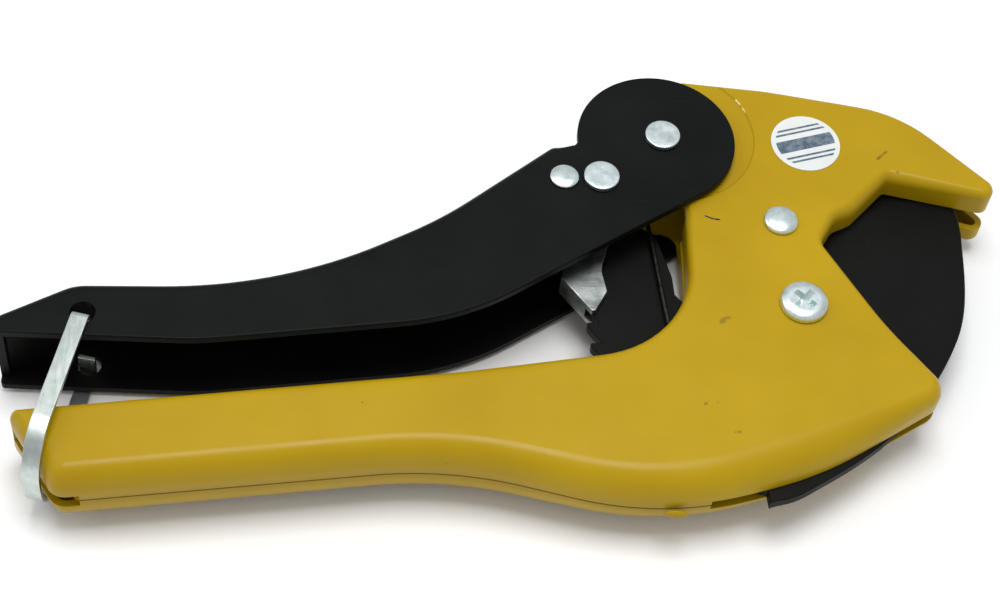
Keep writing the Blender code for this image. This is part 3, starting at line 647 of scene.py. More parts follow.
def build_blade(material):
    """The blade, ground to an edge from both sides, with eased outer corners."""
    edge = spline(CUTTING_EDGE, 14)
    back = spline([CUTTING_EDGE[-1]] + BLADE_BACK, 14)[1:]
    last = FIRST_TOOTH + TOOTH_COUNT * TOOTH_PITCH
    root = TOOTH_TIP_RADIUS - TOOTH_DEPTH
    teeth = tooth_arc() + [polar((0.0, 0.0), root, last), polar((0.0, 0.0), root, BLADE_END - 1.2)]
    tail = [polar((0.0, 0.0), share * TOOTH_TIP_RADIUS, angle) for share, angle in BLADE_TAIL]
    hub = arc((0.0, 0.0), HUB_RADIUS, 160, 85, 24)
    rest = hub[::-1] + tail[::-1] + teeth + back[::-1]
    ease = 0.18
    rings = []
    for share in (0.0, 0.08, 1.0):
        eased = 0.0 if share < 1 else ease
        top = BLADE_HALF - (0.0 if share == 1.0 else ease)
        thin = EDGE_THICKNESS / 2 + (BLADE_HALF - EDGE_THICKNESS / 2) * share
        points = offset_curve(edge, -EDGE_BEVEL * share)[::-1] + offset_curve(rest, eased)
        rings.append((points, [thin] * len(edge) + [top] * len(rest)))
    below = [(points, [-z for z in heights]) for points, heights in reversed(rings)]
    blade = new_object("blade_skin", loft(below + rings))
    cut_away(blade, [prism(disc((0.0, 0.0), BLADE_BORE), -5, 5)])
    return finish(blade, material, "blade", ["blade"], angle=24)


def rivet_profile(shank, head, under, height, dish=0.0):
    """Half of a flat rivet: shank, head with a rounded rim, and a slightly dished top."""
    rim = min(0.3, height / 3)
    top = under + height
    half = [(shank, under), (head - 0.1, under), (head, under + 0.1)]
    for step in range(5):
        angle = radians(90 * step / 4)
        half.append((head - rim + rim * cos(angle), top - rim + rim * sin(angle)))
    half += [(head * 0.62, top - dish * 0.5), (head * 0.3, top - dish), (head * 0.08, top - dish)]
    return half


def dome_profile(shank, head, under, height):
    """Half of a rivet with a low round head."""
    steps = 12
    half = [(shank, under), (head - 0.15, under), (head, under + 0.15)]
    for step in range(1, steps + 1):
        angle = radians(86 * step / steps)
        half.append((head * cos(angle) ** 0.7, under + height * (0.3 + 0.7 * sin(angle))))
    return half


def build_rivets(material):
    """Two flat rivets and one low dome through the lever, and a round dome on the body."""
    on_lever = LEVER_OUTER + PIN_PLAY
    height = TOOL_HALF - on_lever
    on_body = BODY_HALF + PIN_PLAY
    pivot = rivet_profile(LEVER_PIN_RADIUS, FLAT_HEAD_RADIUS, on_lever, height, 0.05)
    pawl = rivet_profile(PAWL_PIN_RADIUS, FLAT_HEAD_RADIUS, on_lever, height, 0.02)
    for node, centre, half, body in (
        ("lever_pin", LEVER_PIVOT, pivot, "body"),
        ("pawl_pin", PAWL_PIVOT, pawl, "lever"),
        ("spring_pin", SPRING_PIN, dome_profile(SPRING_PIN_RADIUS, 3.25, on_lever, 0.8 * height), "lever"),
        ("frame_rivet", FRAME_RIVET, dome_profile(FRAME_RIVET_RADIUS, 3.85, on_body, 1.5), "body"),
    ):
        rivet = new_object(f"{node}_skin", turned(centre, mirrored(half), 72))
        finish(rivet, material, body, [node])


def driver_recess(top):
    """The tapered cross recess of the screw, as two wedges."""
    wedges = []
    for angle in (48, 138):
        rings = []
        for reach, half, z in ((0.9, 0.4, top - 1.8), (2.3, 0.66, top - 0.5), (3.2, 0.85, top + 0.6)):
            rings.append(([(-reach, -half), (reach, -half), (reach, half), (-reach, half)], z))
        bm = loft(rings)
        turn = Matrix.Rotation(radians(angle), 3, "Z")
        bmesh.ops.rotate(bm, cent=(0, 0, 0), matrix=turn, verts=bm.verts)
        wedges.append(bm)
    return wedges


def build_blade_screw(material):
    """A pan head with a cross recess, a plain shank, and a few turns of thread past the nut."""
    under = BODY_HALF + PIN_PLAY
    head = half_width("blade_screw")
    top = box_of("blade_screw")[1].z
    shank = SCREW_RADIUS
    z = 0.4 - TOOL_HALF
    profile = [(shank - 0.5, -TOOL_HALF), (shank - 0.1, z)]
    while z < -BODY_HALF - 0.4:
        profile += [(shank, z + THREAD_PITCH / 2), (shank - 0.35, z + THREAD_PITCH)]
        z += THREAD_PITCH
    profile += [(shank, -BODY_HALF), (shank, under), (head - 0.15, under), (head, under + 0.15)]
    side = under + 0.75
    for step in range(9):
        angle = radians(90 * step / 8)
        profile.append((head - 2.16 * (1 - cos(angle)), side + (top - side) * sin(angle)))
    profile.append((head * 0.25, top))
    screw = new_object("blade_screw_skin", turned((0.0, 0.0), profile, 72))
    cut_away(screw, driver_recess(top))
    return finish(screw, material, "body", ["blade_screw"], angle=30)


def build_blade_nut(material):
    """A hexagon nut with its corners turned off on the outside."""
    low = box_of("blade_nut")[0].z
    high = -BODY_HALF - PIN_PLAY
    corner = NUT_FLATS / 2 / cos(radians(30))
    nut = new_object("blade_nut_skin", prism(disc((0.0, 0.0), corner, 6), low, high))
    kept = [
        (corner - 1.0, low - 1),
        (corner - 0.85, low),
        (corner + 0.1, low + 0.9),
        (corner + 0.1, high + 1),
    ]
    turned_off = new_object("turned_off", turned((0.0, 0.0), kept, 72))
    modifier = nut.modifiers.new("turned_off", "BOOLEAN")
    modifier.operation = "INTERSECT"
    modifier.object = turned_off
    bake_modifiers(nut)
    bpy.data.objects.remove(turned_off, do_unlink=True)
    cut_away(nut, [prism(disc((0.0, 0.0), SCREW_RADIUS + PIN_PLAY), low - 1, high + 1)])
    return finish(nut, material, "body", ["blade_nut"], angle=25)


def build_pawl(material):
    """A folded plate: two cheeks beside the blade's tail, joined by a web along the back."""
    boss = arc(PAWL_PIVOT, PAWL_BOSS, 0, 190, 40)
    outline = boss + rounded_run(boss[-1], PAWL_CORNERS, boss[0])
    ease = 0.3
    inner = offset_curve(outline, ease, closed=True)
    nearly = offset_curve(outline, ease * 0.3, closed=True)
    half = [(outline, PAWL_HALF - ease), (nearly, PAWL_HALF - ease * 0.3), (inner, PAWL_HALF)]
    pawl = new_object("pawl_skin", loft([(points, -z) for points, z in reversed(half)] + half))
    left, low = PAWL_CORNERS[0], PAWL_CORNERS[1]
    sheet = PAWL_SHEET
    inside = [
        (PAWL_PIVOT[0] - PAWL_BOSS - 5, PAWL_PIVOT[1] + 10),
        (PAWL_PIVOT[0] - PAWL_BOSS - 5, PAWL_PIVOT[1] - 7),
        (PAWL_PIVOT[0] - PAWL_BOSS + sheet, PAWL_PIVOT[1] - 7),
        (left[0] + 1.3 * sheet, left[1] + 0.4 * sheet),
        (low[0] + 0.2 * sheet, low[1] + 1.5 * sheet),
        (low[0] + 20, low[1] - 10),
        (PAWL_PIVOT[0] + 20, PAWL_PIVOT[1] + 10),
    ]
    reach = TOOTH_TIP_RADIUS + 0.3
    solids = [
        prism(inside, -SLOT_HALF, SLOT_HALF),
        prism(disc((0.0, 0.0), reach, 240), -SLOT_HALF, SLOT_HALF),
        prism(disc(PAWL_PIVOT, PAWL_PIN_RADIUS + PIN_PLAY), -2 * PAWL_HALF, 2 * PAWL_HALF),
    ]
    cut_away(pawl, solids)
    return finish(pawl, material, "pawl", ["pawl"])


def helix(centre, radius, start, end, low, high):
    steps = ceil(abs(end - start) / 9)
    path = []
    for i in range(steps + 1):
        x, y = polar(centre, radius, start + (end - start) * i / steps)
        path.append((x, y, low + (high - low) * i / steps))
    return path


def build_lever_spring(material):
    """Coil and foot stay with the body. The short leg under the pawl's spacer goes with the lever."""
    low, high = LEVER_COIL_LOW, LEVER_COIL_HIGH
    to_foot = subtract(LEVER_SPRING_FOOT, LEVER_PIVOT)
    start = degrees(atan2(to_foot[1], to_foot[0]) - acos(LEVER_COIL / hypot(*to_foot))) % 360
    to_pawl = subtract(PAWL_PIVOT, LEVER_PIVOT)
    reach = hypot(*to_pawl)
    bearing = 3.6 + LEVER_WIRE + PIN_PLAY
    leg = degrees(atan2(to_pawl[1], to_pawl[0])) % 360 - degrees(asin((LEVER_COIL - bearing) / reach))
    end = leg + 90 - 3 * 360
    path = helix(LEVER_PIVOT, LEVER_COIL, start, end, low, high)
    tip = (*polar(path[-1][:2], reach + 3.0, leg), high)
    coil = new_object("lever_spring_coil", wire([(*LEVER_SPRING_FOOT, low)] + path, LEVER_WIRE))
    finish(coil, material, "body", ["lever_spring"], angle=60)
    short = new_object("lever_spring_leg", wire([path[-1], tip], LEVER_WIRE))
    finish(short, material, "lever", angle=60)


def build_pawl_spring(material):
    """Coil and the leg along the lever stay with the lever. The other leg goes with the pawl."""
    start, end = -12.0, 119.0 + 2 * 360
    path = helix(SPRING_PIN, PAWL_COIL, start, end, -PAWL_COIL_HALF, PAWL_COIL_HALF)
    pawl_tip = (*polar(path[0][:2], 17.0, start - 90), -PAWL_COIL_HALF)
    web_tip = (*polar(path[-1][:2], 10.0, end + 90), PAWL_COIL_HALF)
    coil = new_object("pawl_spring_coil", wire(path + [web_tip], PAWL_WIRE))
    finish(coil, material, "lever", ["pawl_spring"], angle=60)
    short = new_object("pawl_spring_leg", wire([pawl_tip, path[0]], PAWL_WIRE))
    finish(short, material, "pawl", angle=60)


def build_strap(material):
    """A flat strap bent to a U, with its two ends hooked into the lever."""
    leg = Vector(subtract(STRAP_BAR, STRAP_PIVOT))
    length = leg.length
    half = box_of("latch_strap")[1].z - STRAP_THICKNESS / 2
    hook = 1.1
    start = STRAP_SEAT + hook
    line = [(STRAP_SEAT, half - STRAP_HOOK - hook), (STRAP_SEAT, half - STRAP_HOOK / 2 - hook)]
    line += arc((start, half - hook), hook, 180, 90, 10)
    bend = length - STRAP_BEND
    line += [(start + (bend - start) * i / 6, half) for i in range(1, 6)]
    line += arc((bend, half - STRAP_BEND), STRAP_BEND, 90, 0, 20)
    line += [(s, -z) for s, z in reversed(line)]
    outer = offset_curve(line, STRAP_THICKNESS / 2)
    inner = offset_curve(line, -STRAP_THICKNESS / 2)
    bm = prism(outer + inner[::-1], -STRAP_WIDTH / 2, STRAP_WIDTH / 2)
    along = leg.normalized()
    turn = Matrix(((along.x, 0, along.y), (along.y, 0, -along.x), (0, 1, 0))).to_4x4()
    bmesh.ops.transform(bm, matrix=Matrix.Translation((*STRAP_PIVOT, 0.0)) @ turn, verts=bm.verts)
    bmesh.ops.recalc_face_normals(bm, faces=bm.faces)
    strap = new_object("latch_strap_skin", bm)
    soften(strap, 0.18, 3, 60)
    return finish(strap, material, "latch", ["latch_strap"])


def build_label(material):
    """A thin sticker with a soft edge, lying on the body's face."""
    radius = half_width("label")
    low = BODY_HALF + 0.02
    profile = [(radius, low), (radius, low + 0.14), (radius - 0.08, low + 0.2), (radius * 0.5, low + 0.2)]
    label = new_object("label_skin", turned(LABEL_CENTRE, profile, 128))
    return finish(label, material, "body", ["label"])


# ---------------------------------------------------------------- materials


class Paint:
    """One material's nodes. Places are in metres in the frame, so they move with the piece."""

    def __init__(self, name):
        self.material = bpy.data.materials.new(name)
        self.material.use_nodes = True
        self.tree = self.material.node_tree
        self.shader = self.tree.nodes["Principled BSDF"]
        self.place = self.tree.nodes.new("ShaderNodeTexCoord").outputs["Object"]

    def plug(self, socket, value):
        """Links a socket to another, or sets its number or colour."""
        if isinstance(value, bpy.types.NodeSocket):
            self.tree.links.new(value, socket)
        elif socket.type == "RGBA" and len(value) == 3:
            socket.default_value = (*value, 1.0)
        else:
            socket.default_value = value

    def node(self, kind, inputs, **settings):
        made = self.tree.nodes.new(f"ShaderNode{kind}")
        for key, value in settings.items():
            setattr(made, key, value)
        for key, value in inputs.items():
            self.plug(made.inputs[key], value)
        return made

    def vector(self, operation, **inputs):
        """A vector sum of the inputs a and b, or of a and a scale."""
        sockets = {"a": 0, "b": 1, "scale": "Scale"}
        plugs = {sockets[key]: value for key, value in inputs.items()}
        result = "Value" if operation in ("DOT_PRODUCT", "DISTANCE", "LENGTH") else "Vector"
        return self.node("VectorMath", plugs, operation=operation).outputs[result]

    def stretched(self, scale, turn=0.0):
        rotation = (0.0, 0.0, radians(turn))
        return self.node("Mapping", {"Vector": self.place, "Scale": scale, "Rotation": rotation}).outputs[0]

    def noise(self, scale, detail, rough, where=None):
        inputs = {"Vector": where or self.place, "Scale": scale, "Detail": detail, "Roughness": rough}
        return self.node("TexNoise", inputs).outputs["Fac"]

    def scale_range(self, value, low, high, out_low=0.0, out_high=1.0):
        inputs = {0: value, 1: low, 2: high, 3: out_low, 4: out_high}
        return self.node("MapRange", inputs).outputs[0]

    def math(self, operation, a, b=0.0):
        return self.node("Math", {0: a, 1: b}, operation=operation).outputs[0]

    def mix(self, factor, a, b):
        """A blend of two colours."""
        return self.node("Mix", {0: factor, 6: a, 7: b}, data_type="RGBA").outputs[2]

    def spots(self, scale, radius, share):
        """Round specks: one in each of a share of the cells of a random pattern."""
        cells = self.node("TexVoronoi", {"Vector": self.place, "Scale": scale, "Randomness": 1.0})
        chance = self.node("SeparateColor", {0: cells.outputs["Color"]}).outputs[0]
        lucky = self.math("GREATER_THAN", chance, 1 - share)
        near = self.scale_range(cells.outputs["Distance"], radius * scale * 0.5, radius * scale, 1.0, 0.0)
        return self.math("MULTIPLY", near, lucky)

    def stroke(self, start, end, width, wobble):
        """A wavering mark between two points of the drawing on the front side."""
        noise = self.node("TexNoise", {"Vector": self.place, "Scale": 900.0}).outputs["Color"]
        shift = self.vector("SUBTRACT", a=noise, b=(0.5, 0.5, 0.5))
        where = self.vector("ADD", a=self.place, b=self.vector("SCALE", a=shift, scale=wobble * MM))
        way = MM * Vector((*subtract(end, start), 0.0))
        offset = self.vector("SUBTRACT", a=where, b=ORIGIN + MM * Vector((*start, BODY_HALF)))
        dot = self.vector("DOT_PRODUCT", a=offset, b=way / way.length_squared)
        along = self.node("Clamp", {0: dot}).outputs[0]
        away = self.vector("DISTANCE", a=offset, b=self.vector("SCALE", a=way, scale=along))
        return self.scale_range(away, width * MM * 0.4, width * MM, 1.0, 0.0)

    def strokes(self, marks):
        return self.combine([self.stroke(*mark) for mark in marks])

    def combine(self, masks):
        total = masks[0]
        for mask in masks[1:]:
            total = self.math("MAXIMUM", total, mask)
        return total

    def set(self, key, value):
        self.plug(self.shader.inputs[key], value)

    def bump(self, height, distance, strength=1.0, under=None):
        """Relief of a real height in millimetres."""
        inputs = {"Height": height, "Distance": distance * MM, "Strength": strength}
        if under is not None:
            inputs["Normal"] = under
        return self.node("Bump", inputs).outputs[0]


def enamel():
    """Warm yellow stoving enamel: slight orange peel, faint streaks, specks, chips, scratches, and a
    painted highlight along the recess edge.
    """
    paint = Paint("yellow_enamel_worn")
    cloud = paint.noise(28.0, 3.0, 0.55)
    base = paint.mix(paint.scale_range(cloud, 0.3, 0.7), ENAMEL_DEEP, ENAMEL_LIGHT)
    streaks = paint.noise(60.0, 4.0, 0.6, paint.stretched((0.35, 1.6, 1.0), 12.0))
    base = paint.mix(paint.scale_range(streaks, 0.52, 0.75, 0.0, 0.16), base, ENAMEL_DULL)

    specks = paint.combine([paint.spots(95.0, 0.00032, 0.1), paint.spots(210.0, 0.0002, 0.07)])
    smudges = paint.strokes(SMUDGES)
    smudges = paint.math("MULTIPLY", smudges, paint.scale_range(paint.noise(420.0, 4.0, 0.7), 0.35, 0.6))
    scratches = paint.strokes(SCRATCHES)
    # Pale strokes: a light scratch low on the body, and a painted highlight along the edge of the recess
    # round the lever.
    bright = paint.strokes(SCRATCH_AND_HIGHLIGHT_STROKES)
    bright = paint.math("MULTIPLY", bright, paint.scale_range(paint.noise(800.0, 3.0, 0.6), 0.4, 0.55))

    # Along the rims, within about a millimetre of the slot and seam, the enamel is darker and chipped.
    height = paint.node("SeparateXYZ", {0: paint.place}).outputs[2]
    from_middle = paint.math("ABSOLUTE", paint.math("SUBTRACT", height, ORIGIN.z))
    rim = paint.scale_range(from_middle, 0.0006, 0.0022, 1.0, 0.0)
    chips = paint.scale_range(paint.noise(340.0, 5.0, 0.7), 0.66, 0.76)
    chipped = paint.math("MULTIPLY", rim, chips)
    base = paint.mix(paint.math("MULTIPLY", rim, 0.22), base, ENAMEL_RIM_DARK)
    base = paint.mix(paint.math("MULTIPLY", smudges, 0.75), base, ENAMEL_SMUDGE)
    base = paint.mix(paint.math("MULTIPLY", specks, 0.6), base, ENAMEL_SMUDGE)
    # Mixes in the pale scratch and the painted highlight on the recess edge.
    base = paint.mix(bright, base, ENAMEL_SCRATCH_AND_HIGHLIGHT)
    dark = paint.combine([scratches, paint.math("MULTIPLY", chipped, 0.8)])
    base = paint.mix(dark, base, BARE_DARK)
    paint.set("Base Color", base)

    fine = paint.noise(1500.0, 2.0, 0.5)
    rough = paint.scale_range(paint.noise(90.0, 5.0, 0.65), 0.3, 0.75, 0.27, 0.4)
    rough = paint.math("ADD", rough, paint.math("MULTIPLY", dark, 0.3))
    paint.set("Roughness", rough)
    paint.set("Specular IOR Level", 0.2)
    peel = paint.bump(paint.noise(430.0, 2.0, 0.5), 0.05, 0.3)
    peel = paint.bump(fine, 0.006, 0.25, peel)
    marks = paint.math("SUBTRACT", 1.0, paint.combine([dark, bright, paint.math("MULTIPLY", specks, 0.6)]))
    paint.set("Normal", paint.bump(marks, 0.08, 0.7, peel))
    return paint.material


def black_paint():
    """Satin black paint with fine handling scratches along and across, and a few worn specks."""
    paint = Paint("black_paint_satin")
    cloud = paint.noise(35.0, 4.0, 0.6)
    base = paint.mix(paint.scale_range(cloud, 0.3, 0.7), (0.0032, 0.0038, 0.0036), (0.0055, 0.006, 0.0056))
    along = paint.noise(240.0, 5.0, 0.7, paint.stretched((0.12, 2.4, 1.0), 24.0))
    across = paint.noise(200.0, 5.0, 0.7, paint.stretched((1.9, 0.15, 1.0), 14.0))
    scuffs = paint.combine([paint.scale_range(along, 0.66, 0.76), paint.scale_range(across, 0.69, 0.78)])
    base = paint.mix(paint.math("MULTIPLY", scuffs, 0.3), base, (0.03, 0.031, 0.03))
    worn = paint.combine([paint.spots(140.0, 0.0002, 0.1), paint.spots(60.0, 0.00028, 0.05)])
    base = paint.mix(paint.math("MULTIPLY", worn, 0.5), base, (0.11, 0.1, 0.085))
    paint.set("Base Color", base)
    rough = paint.scale_range(paint.noise(70.0, 5.0, 0.65), 0.3, 0.7, 0.36, 0.5)
    paint.set("Roughness", paint.math("SUBTRACT", rough, paint.math("MULTIPLY", scuffs, 0.08)))
    paint.set("Specular IOR Level", 0.09)
    peel = paint.bump(paint.noise(520.0, 2.0, 0.5), 0.05, 0.35)
    dents = paint.bump(paint.noise(70.0, 2.0, 0.4), 0.12, 0.25, peel)
    paint.set("Normal", paint.bump(paint.math("SUBTRACT", 1.0, scuffs), 0.01, 0.4, dents))
    return paint.material


def blackened_steel():
    """Dull black coating with a polished, scuffed patch by the tail."""
    paint = Paint("blade_coating")
    cloud = paint.noise(45.0, 5.0, 0.65)
    base = paint.mix(paint.scale_range(cloud, 0.3, 0.7), (0.0032, 0.0034, 0.003), (0.006, 0.006, 0.0054))
    grind = paint.noise(300.0, 5.0, 0.7, paint.stretched((2.2, 0.2, 1.0), -35.0))
    scuffs = paint.scale_range(grind, 0.64, 0.76)
    rub = paint.strokes([
        ((-36.0, 8.5), (-31.5, 7.5), 2.6, 2.5),
        ((-39.5, 11.5), (-37.0, 10.5), 1.4, 2.0),
    ])
    rub = paint.math("MULTIPLY", rub, paint.scale_range(paint.noise(260.0, 5.0, 0.75), 0.48, 0.66))
    base = paint.mix(paint.math("MULTIPLY", scuffs, 0.3), base, (0.035, 0.034, 0.032))
    base = paint.mix(paint.math("MULTIPLY", rub, 0.7), base, (0.16, 0.14, 0.12))
    paint.set("Base Color", base)
    paint.set("Roughness", paint.scale_range(paint.noise(130.0, 5.0, 0.65), 0.3, 0.7, 0.42, 0.58))
    paint.set("Specular IOR Level", 0.09)
    grain = paint.bump(paint.noise(700.0, 3.0, 0.6), 0.03, 0.35)
    paint.set("Normal", paint.bump(paint.math("SUBTRACT", 1.0, scuffs), 0.012, 0.4, grain))
    return paint.material


def zinc(name, light, deep, grain_stretch, grain_turn, smoothest):
    """Bright zinc plating: mottled, with dull pits and a faint grain."""
    paint = Paint(name)
    mottle = paint.noise(420.0, 5.0, 0.6)
    base = paint.mix(paint.scale_range(mottle, 0.35, 0.65), deep, light)
    pits = paint.combine([paint.spots(900.0, 0.00016, 0.16), paint.spots(420.0, 0.00026, 0.1)])
    base = paint.mix(paint.math("MULTIPLY", pits, 0.7), base, (0.2, 0.22, 0.22))
    stain = paint.scale_range(paint.noise(160.0, 4.0, 0.6), 0.55, 0.75, 0.0, 0.35)
    base = paint.mix(stain, base, deep)
    paint.set("Base Color", base)
    paint.set("Metallic", 1.0)
    grain = paint.noise(500.0, 5.0, 0.7, paint.stretched(grain_stretch, grain_turn))
    rough = paint.scale_range(grain, 0.3, 0.7, smoothest, 0.4)
    paint.set("Roughness", paint.math("ADD", rough, paint.math("MULTIPLY", pits, 0.15)))
    relief = paint.bump(grain, 0.012, 0.35)
    relief = paint.bump(paint.noise(260.0, 3.0, 0.5), 0.03, 0.25, relief)
    paint.set("Normal", paint.bump(paint.math("SUBTRACT", 1.0, pits), 0.03, 0.5, relief))
    return paint.material


def bare_steel():
    """Bare pressed steel, smeared and scratched across."""
    paint = Paint("bare_steel_scratched")
    smear = paint.noise(170.0, 4.0, 0.6)
    base = paint.mix(paint.scale_range(smear, 0.35, 0.65), (0.2, 0.215, 0.21), (0.6, 0.64, 0.62))
    lines = paint.noise(520.0, 6.0, 0.75, paint.stretched((0.2, 2.6, 1.0), -38.0))
    dark = paint.scale_range(lines, 0.56, 0.7)
    base = paint.mix(paint.math("MULTIPLY", dark, 0.75), base, (0.1, 0.11, 0.11))
    paint.set("Base Color", base)
    paint.set("Metallic", 1.0)
    paint.set("Roughness", paint.scale_range(lines, 0.3, 0.75, 0.28, 0.52))
    relief = paint.bump(paint.noise(420.0, 4.0, 0.7), 0.05, 0.4)
    paint.set("Normal", paint.bump(paint.math("SUBTRACT", 1.0, lines), 0.04, 0.5, relief))
    return paint.material


def spring_wire():
    """Drawn spring wire, dark with a polish."""
    paint = Paint("spring_wire")
    drawn = paint.noise(900.0, 4.0, 0.6, paint.stretched((1.0, 1.0, 3.0)))
    tone = paint.scale_range(drawn, 0.3, 0.7)
    paint.set("Base Color", paint.mix(tone, (0.02, 0.02, 0.019), (0.05, 0.05, 0.048)))
    paint.set("Metallic", 1.0)
    paint.set("Roughness", paint.scale_range(drawn, 0.3, 0.7, 0.3, 0.5))
    paint.set("Normal", paint.bump(drawn, 0.01, 0.4))
    return paint.material


def label_print():
    """A plain sticker: pale ground with one broad blue-grey band between thin lines."""
    paint = Paint("label_plain")
    centre = ORIGIN + MM * Vector((*LABEL_CENTRE, 0.0))
    offset = paint.vector("SUBTRACT", a=paint.place, b=(centre.x, centre.y, 0.0))
    flat = paint.vector("MULTIPLY", a=offset, b=(1.0, 1.0, 0.0))
    radius = paint.vector("LENGTH", a=flat)
    turn = (0.0, 0.0, radians(-18))
    turned_place = paint.node("Mapping", {"Vector": flat, "Rotation": turn}).outputs[0]
    across = paint.node("SeparateXYZ", {0: turned_place}).outputs[1]
    soft = 0.06 * MM
    rim = LABEL_PRINT_RADIUS * MM
    inside = paint.scale_range(radius, rim - soft, rim + soft, 1.0, 0.0)

    def band(middle, half):
        away = paint.math("ABSOLUTE", paint.math("SUBTRACT", across, middle * MM))
        return paint.scale_range(away, half * MM - soft, half * MM + soft, 1.0, 0.0)

    bands = paint.combine([band(0.0, 1.7)] + [band(middle, 0.28) for middle in (3.4, -3.4, 4.6, -4.6)])
    print_mask = paint.math("MULTIPLY", inside, bands)
    fade = paint.scale_range(paint.noise(700.0, 4.0, 0.7), 0.3, 0.62, 0.75, 1.0)
    tone = paint.scale_range(paint.noise(120.0, 3.0, 0.5), 0.3, 0.7)
    ground = paint.mix(tone, (0.66, 0.69, 0.67), (0.74, 0.76, 0.73))
    ink = paint.math("MULTIPLY", print_mask, fade)
    paint.set("Base Color", paint.mix(ink, ground, (0.045, 0.085, 0.13)))
    paint.set("Roughness", paint.scale_range(paint.noise(90.0, 4.0, 0.6), 0.3, 0.7, 0.24, 0.36))
    paint.set("Coat Weight", 0.3)
    paint.set("Coat Roughness", 0.15)
    paint.set("Normal", paint.bump(paint.noise(260.0, 2.0, 0.5), 0.02, 0.3))
    return paint.material


# Marks on the enamel of the front side: start, end, half-width and wobble.
SMUDGES = [
    ((-18.3, -5.7), (-16.8, -4.5), 0.7, 1.2),
    ((3.2, -36.6), (4.6, -36.5), 0.6, 1.0),
    ((-23.0, -26.9), (-22.6, -26.8), 0.45, 0.8),
    ((-20.2, -26.3), (-20.0, -26.2), 0.4, 0.6),
    ((-16.9, -33.5), (-16.1, -33.4), 0.45, 0.9),
    ((24.7, 38.3), (25.0, 38.2), 0.4, 0.4),
    ((20.6, 41.8), (22.9, 44.2), 0.42, 0.8),
]
SCRATCHES = [
    ((-20.3, 22.95), (-18.8, 22.3), 0.26, 0.3),
    ((-18.8, 22.3), (-17.2, 22.1), 0.3, 0.3),
]
# A light scratch low on the body, then a painted highlight along the edge of the recess round the lever.
SCRATCH_AND_HIGHLIGHT_STROKES = [
    ((3.2, -32.5), (5.2, -31.55), 0.35, 0.9),
    ((-11.2, 57.2), (-9.4, 53.8), 0.34, 0.5),
]

# Enamel colours, linear.
ENAMEL_LIGHT = (0.44, 0.285, 0.003)
ENAMEL_DEEP = (0.385, 0.24, 0.002)
ENAMEL_DULL = (0.34, 0.225, 0.006)
ENAMEL_RIM_DARK = (0.16, 0.105, 0.012)
ENAMEL_SMUDGE = (0.1, 0.07, 0.012)
# Pale yellow of the light scratch and of the painted highlight on the recess edge.
ENAMEL_SCRATCH_AND_HIGHLIGHT = (0.85, 0.72, 0.3)
BARE_DARK = (0.02, 0.017, 0.012)


# ---------------------------------------------------------------- stage


FLOOR_SIZE = 8.0
CAMERA_ELEVATION = 54.6
CAMERA_AZIMUTH = -96.371
CAMERA_ROLL = 7.8
CAMERA_DISTANCE = 482.467
CAMERA_AIM = (-65.543, 2.107, 0.0)
SENSOR = 36.0
LENS = 79.2
LIGHT_DISTANCE = 0.9
HIDDEN_STEEL = (
    "lever_sleeve",
    "frame_spacer",
    "blade_bush",
    "blade_spacer_front",
    "blade_spacer_rear",
    "pawl_spacer_front",
    "pawl_spacer_rear",
    "pivot_washer_front",
    "pivot_washer_rear",
)


def build_floor():
    mesh = bpy.data.meshes.new("floor")
    half = FLOOR_SIZE / 2
    corners = [(-half, -half, 0), (half, -half, 0), (half, half, 0), (-half, half, 0)]
    mesh.from_pydata(corners, [], [(0, 1, 2, 3)])
    floor = bpy.data.objects.new("floor", mesh)
    bpy.context.scene.collection.objects.link(floor)
    paint = Paint("floor_pale")
    paint.set("Base Color", (0.93, 0.93, 0.925))
    paint.set("Roughness", 0.6)
    paint.set("Specular IOR Level", 0.2)
    mesh.materials.append(paint.material)


def direction(elevation, azimuth):
    flat = cos(radians(elevation))
    return Vector((flat * cos(radians(azimuth)), flat * sin(radians(azimuth)), sin(radians(elevation))))


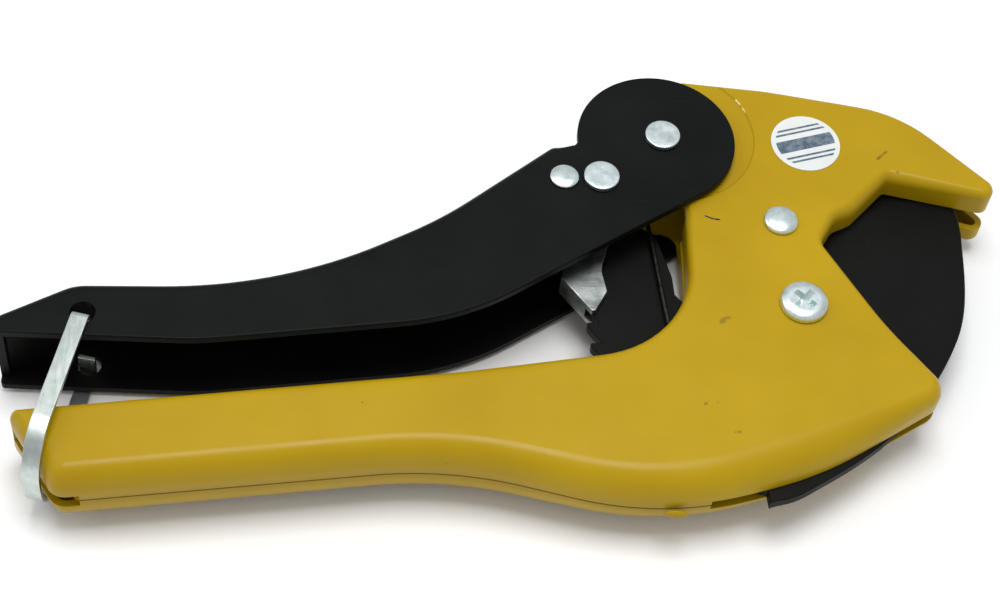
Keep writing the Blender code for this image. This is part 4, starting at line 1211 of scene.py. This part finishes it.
def add_light(name, elevation, azimuth, size, power):
    """A soft square light that faces the tool."""
    data = bpy.data.lights.new(name, "AREA")
    data.shape = "SQUARE"
    data.size = size
    data.energy = power
    light = bpy.data.objects.new(name, data)
    towards = direction(elevation, azimuth)
    light.location = (cad_box[0] + cad_box[1]) / 2 + towards * LIGHT_DISTANCE
    light.rotation_euler = towards.to_track_quat("Z", "Y").to_euler()
    bpy.context.scene.collection.objects.link(light)


def build_lights():
    world = bpy.data.worlds.new("studio")
    world.use_nodes = True
    background = world.node_tree.nodes["Background"]
    background.inputs["Color"].default_value = (0.95, 0.97, 1.0, 1.0)
    background.inputs["Strength"].default_value = 0.58
    bpy.context.scene.world = world
    add_light("overhead", 86.0, 90.0, 0.45, 5.5)
    add_light("left", 40.0, 165.0, 0.5, 1.2)


def build_camera():
    back = direction(CAMERA_ELEVATION, CAMERA_AZIMUTH)
    camera = bpy.data.objects.new("camera", bpy.data.cameras.new("camera"))
    camera.data.sensor_width = SENSOR
    camera.data.lens = LENS
    camera.data.clip_start = 0.01
    camera.location = ORIGIN + MM * (Vector(CAMERA_AIM) + back * CAMERA_DISTANCE)
    level = back.to_track_quat("Z", "Y").to_matrix()
    camera.rotation_euler = (level @ Matrix.Rotation(radians(CAMERA_ROLL), 3, "Z")).to_euler()
    bpy.context.scene.collection.objects.link(camera)
    bpy.context.scene.camera = camera


def main():
    bpy.context.scene.view_settings.view_transform = "Standard"
    yellow = enamel()
    black = black_paint()
    plating = zinc("zinc_mottled", (0.84, 0.93, 0.93), (0.66, 0.75, 0.74), (1.0, 1.0, 1.0), 0.0, 0.24)
    strap_metal = zinc("zinc_drawn", (0.62, 0.68, 0.64), (0.5, 0.56, 0.53), (3.0, 0.25, 1.0), 7.0, 0.26)
    bare = bare_steel()
    spring = spring_wire()

    build_shell("front_shell_skin", 1, yellow)
    build_shell("rear_shell_skin", -1, yellow)
    build_weld_bead(yellow)
    build_lever(black)
    build_blade(blackened_steel())
    build_rivets(plating)
    build_blade_screw(plating)
    build_blade_nut(plating)
    build_pawl(bare)
    build_lever_spring(spring)
    build_pawl_spring(spring)
    build_strap(strap_metal)
    build_label(label_print())
    for node in HIDDEN_STEEL:
        piece = frame["nodes"][node]
        piece.data.materials.clear()
        piece.data.materials.append(bare)
    build_floor()
    build_lights()
    build_camera()


main()
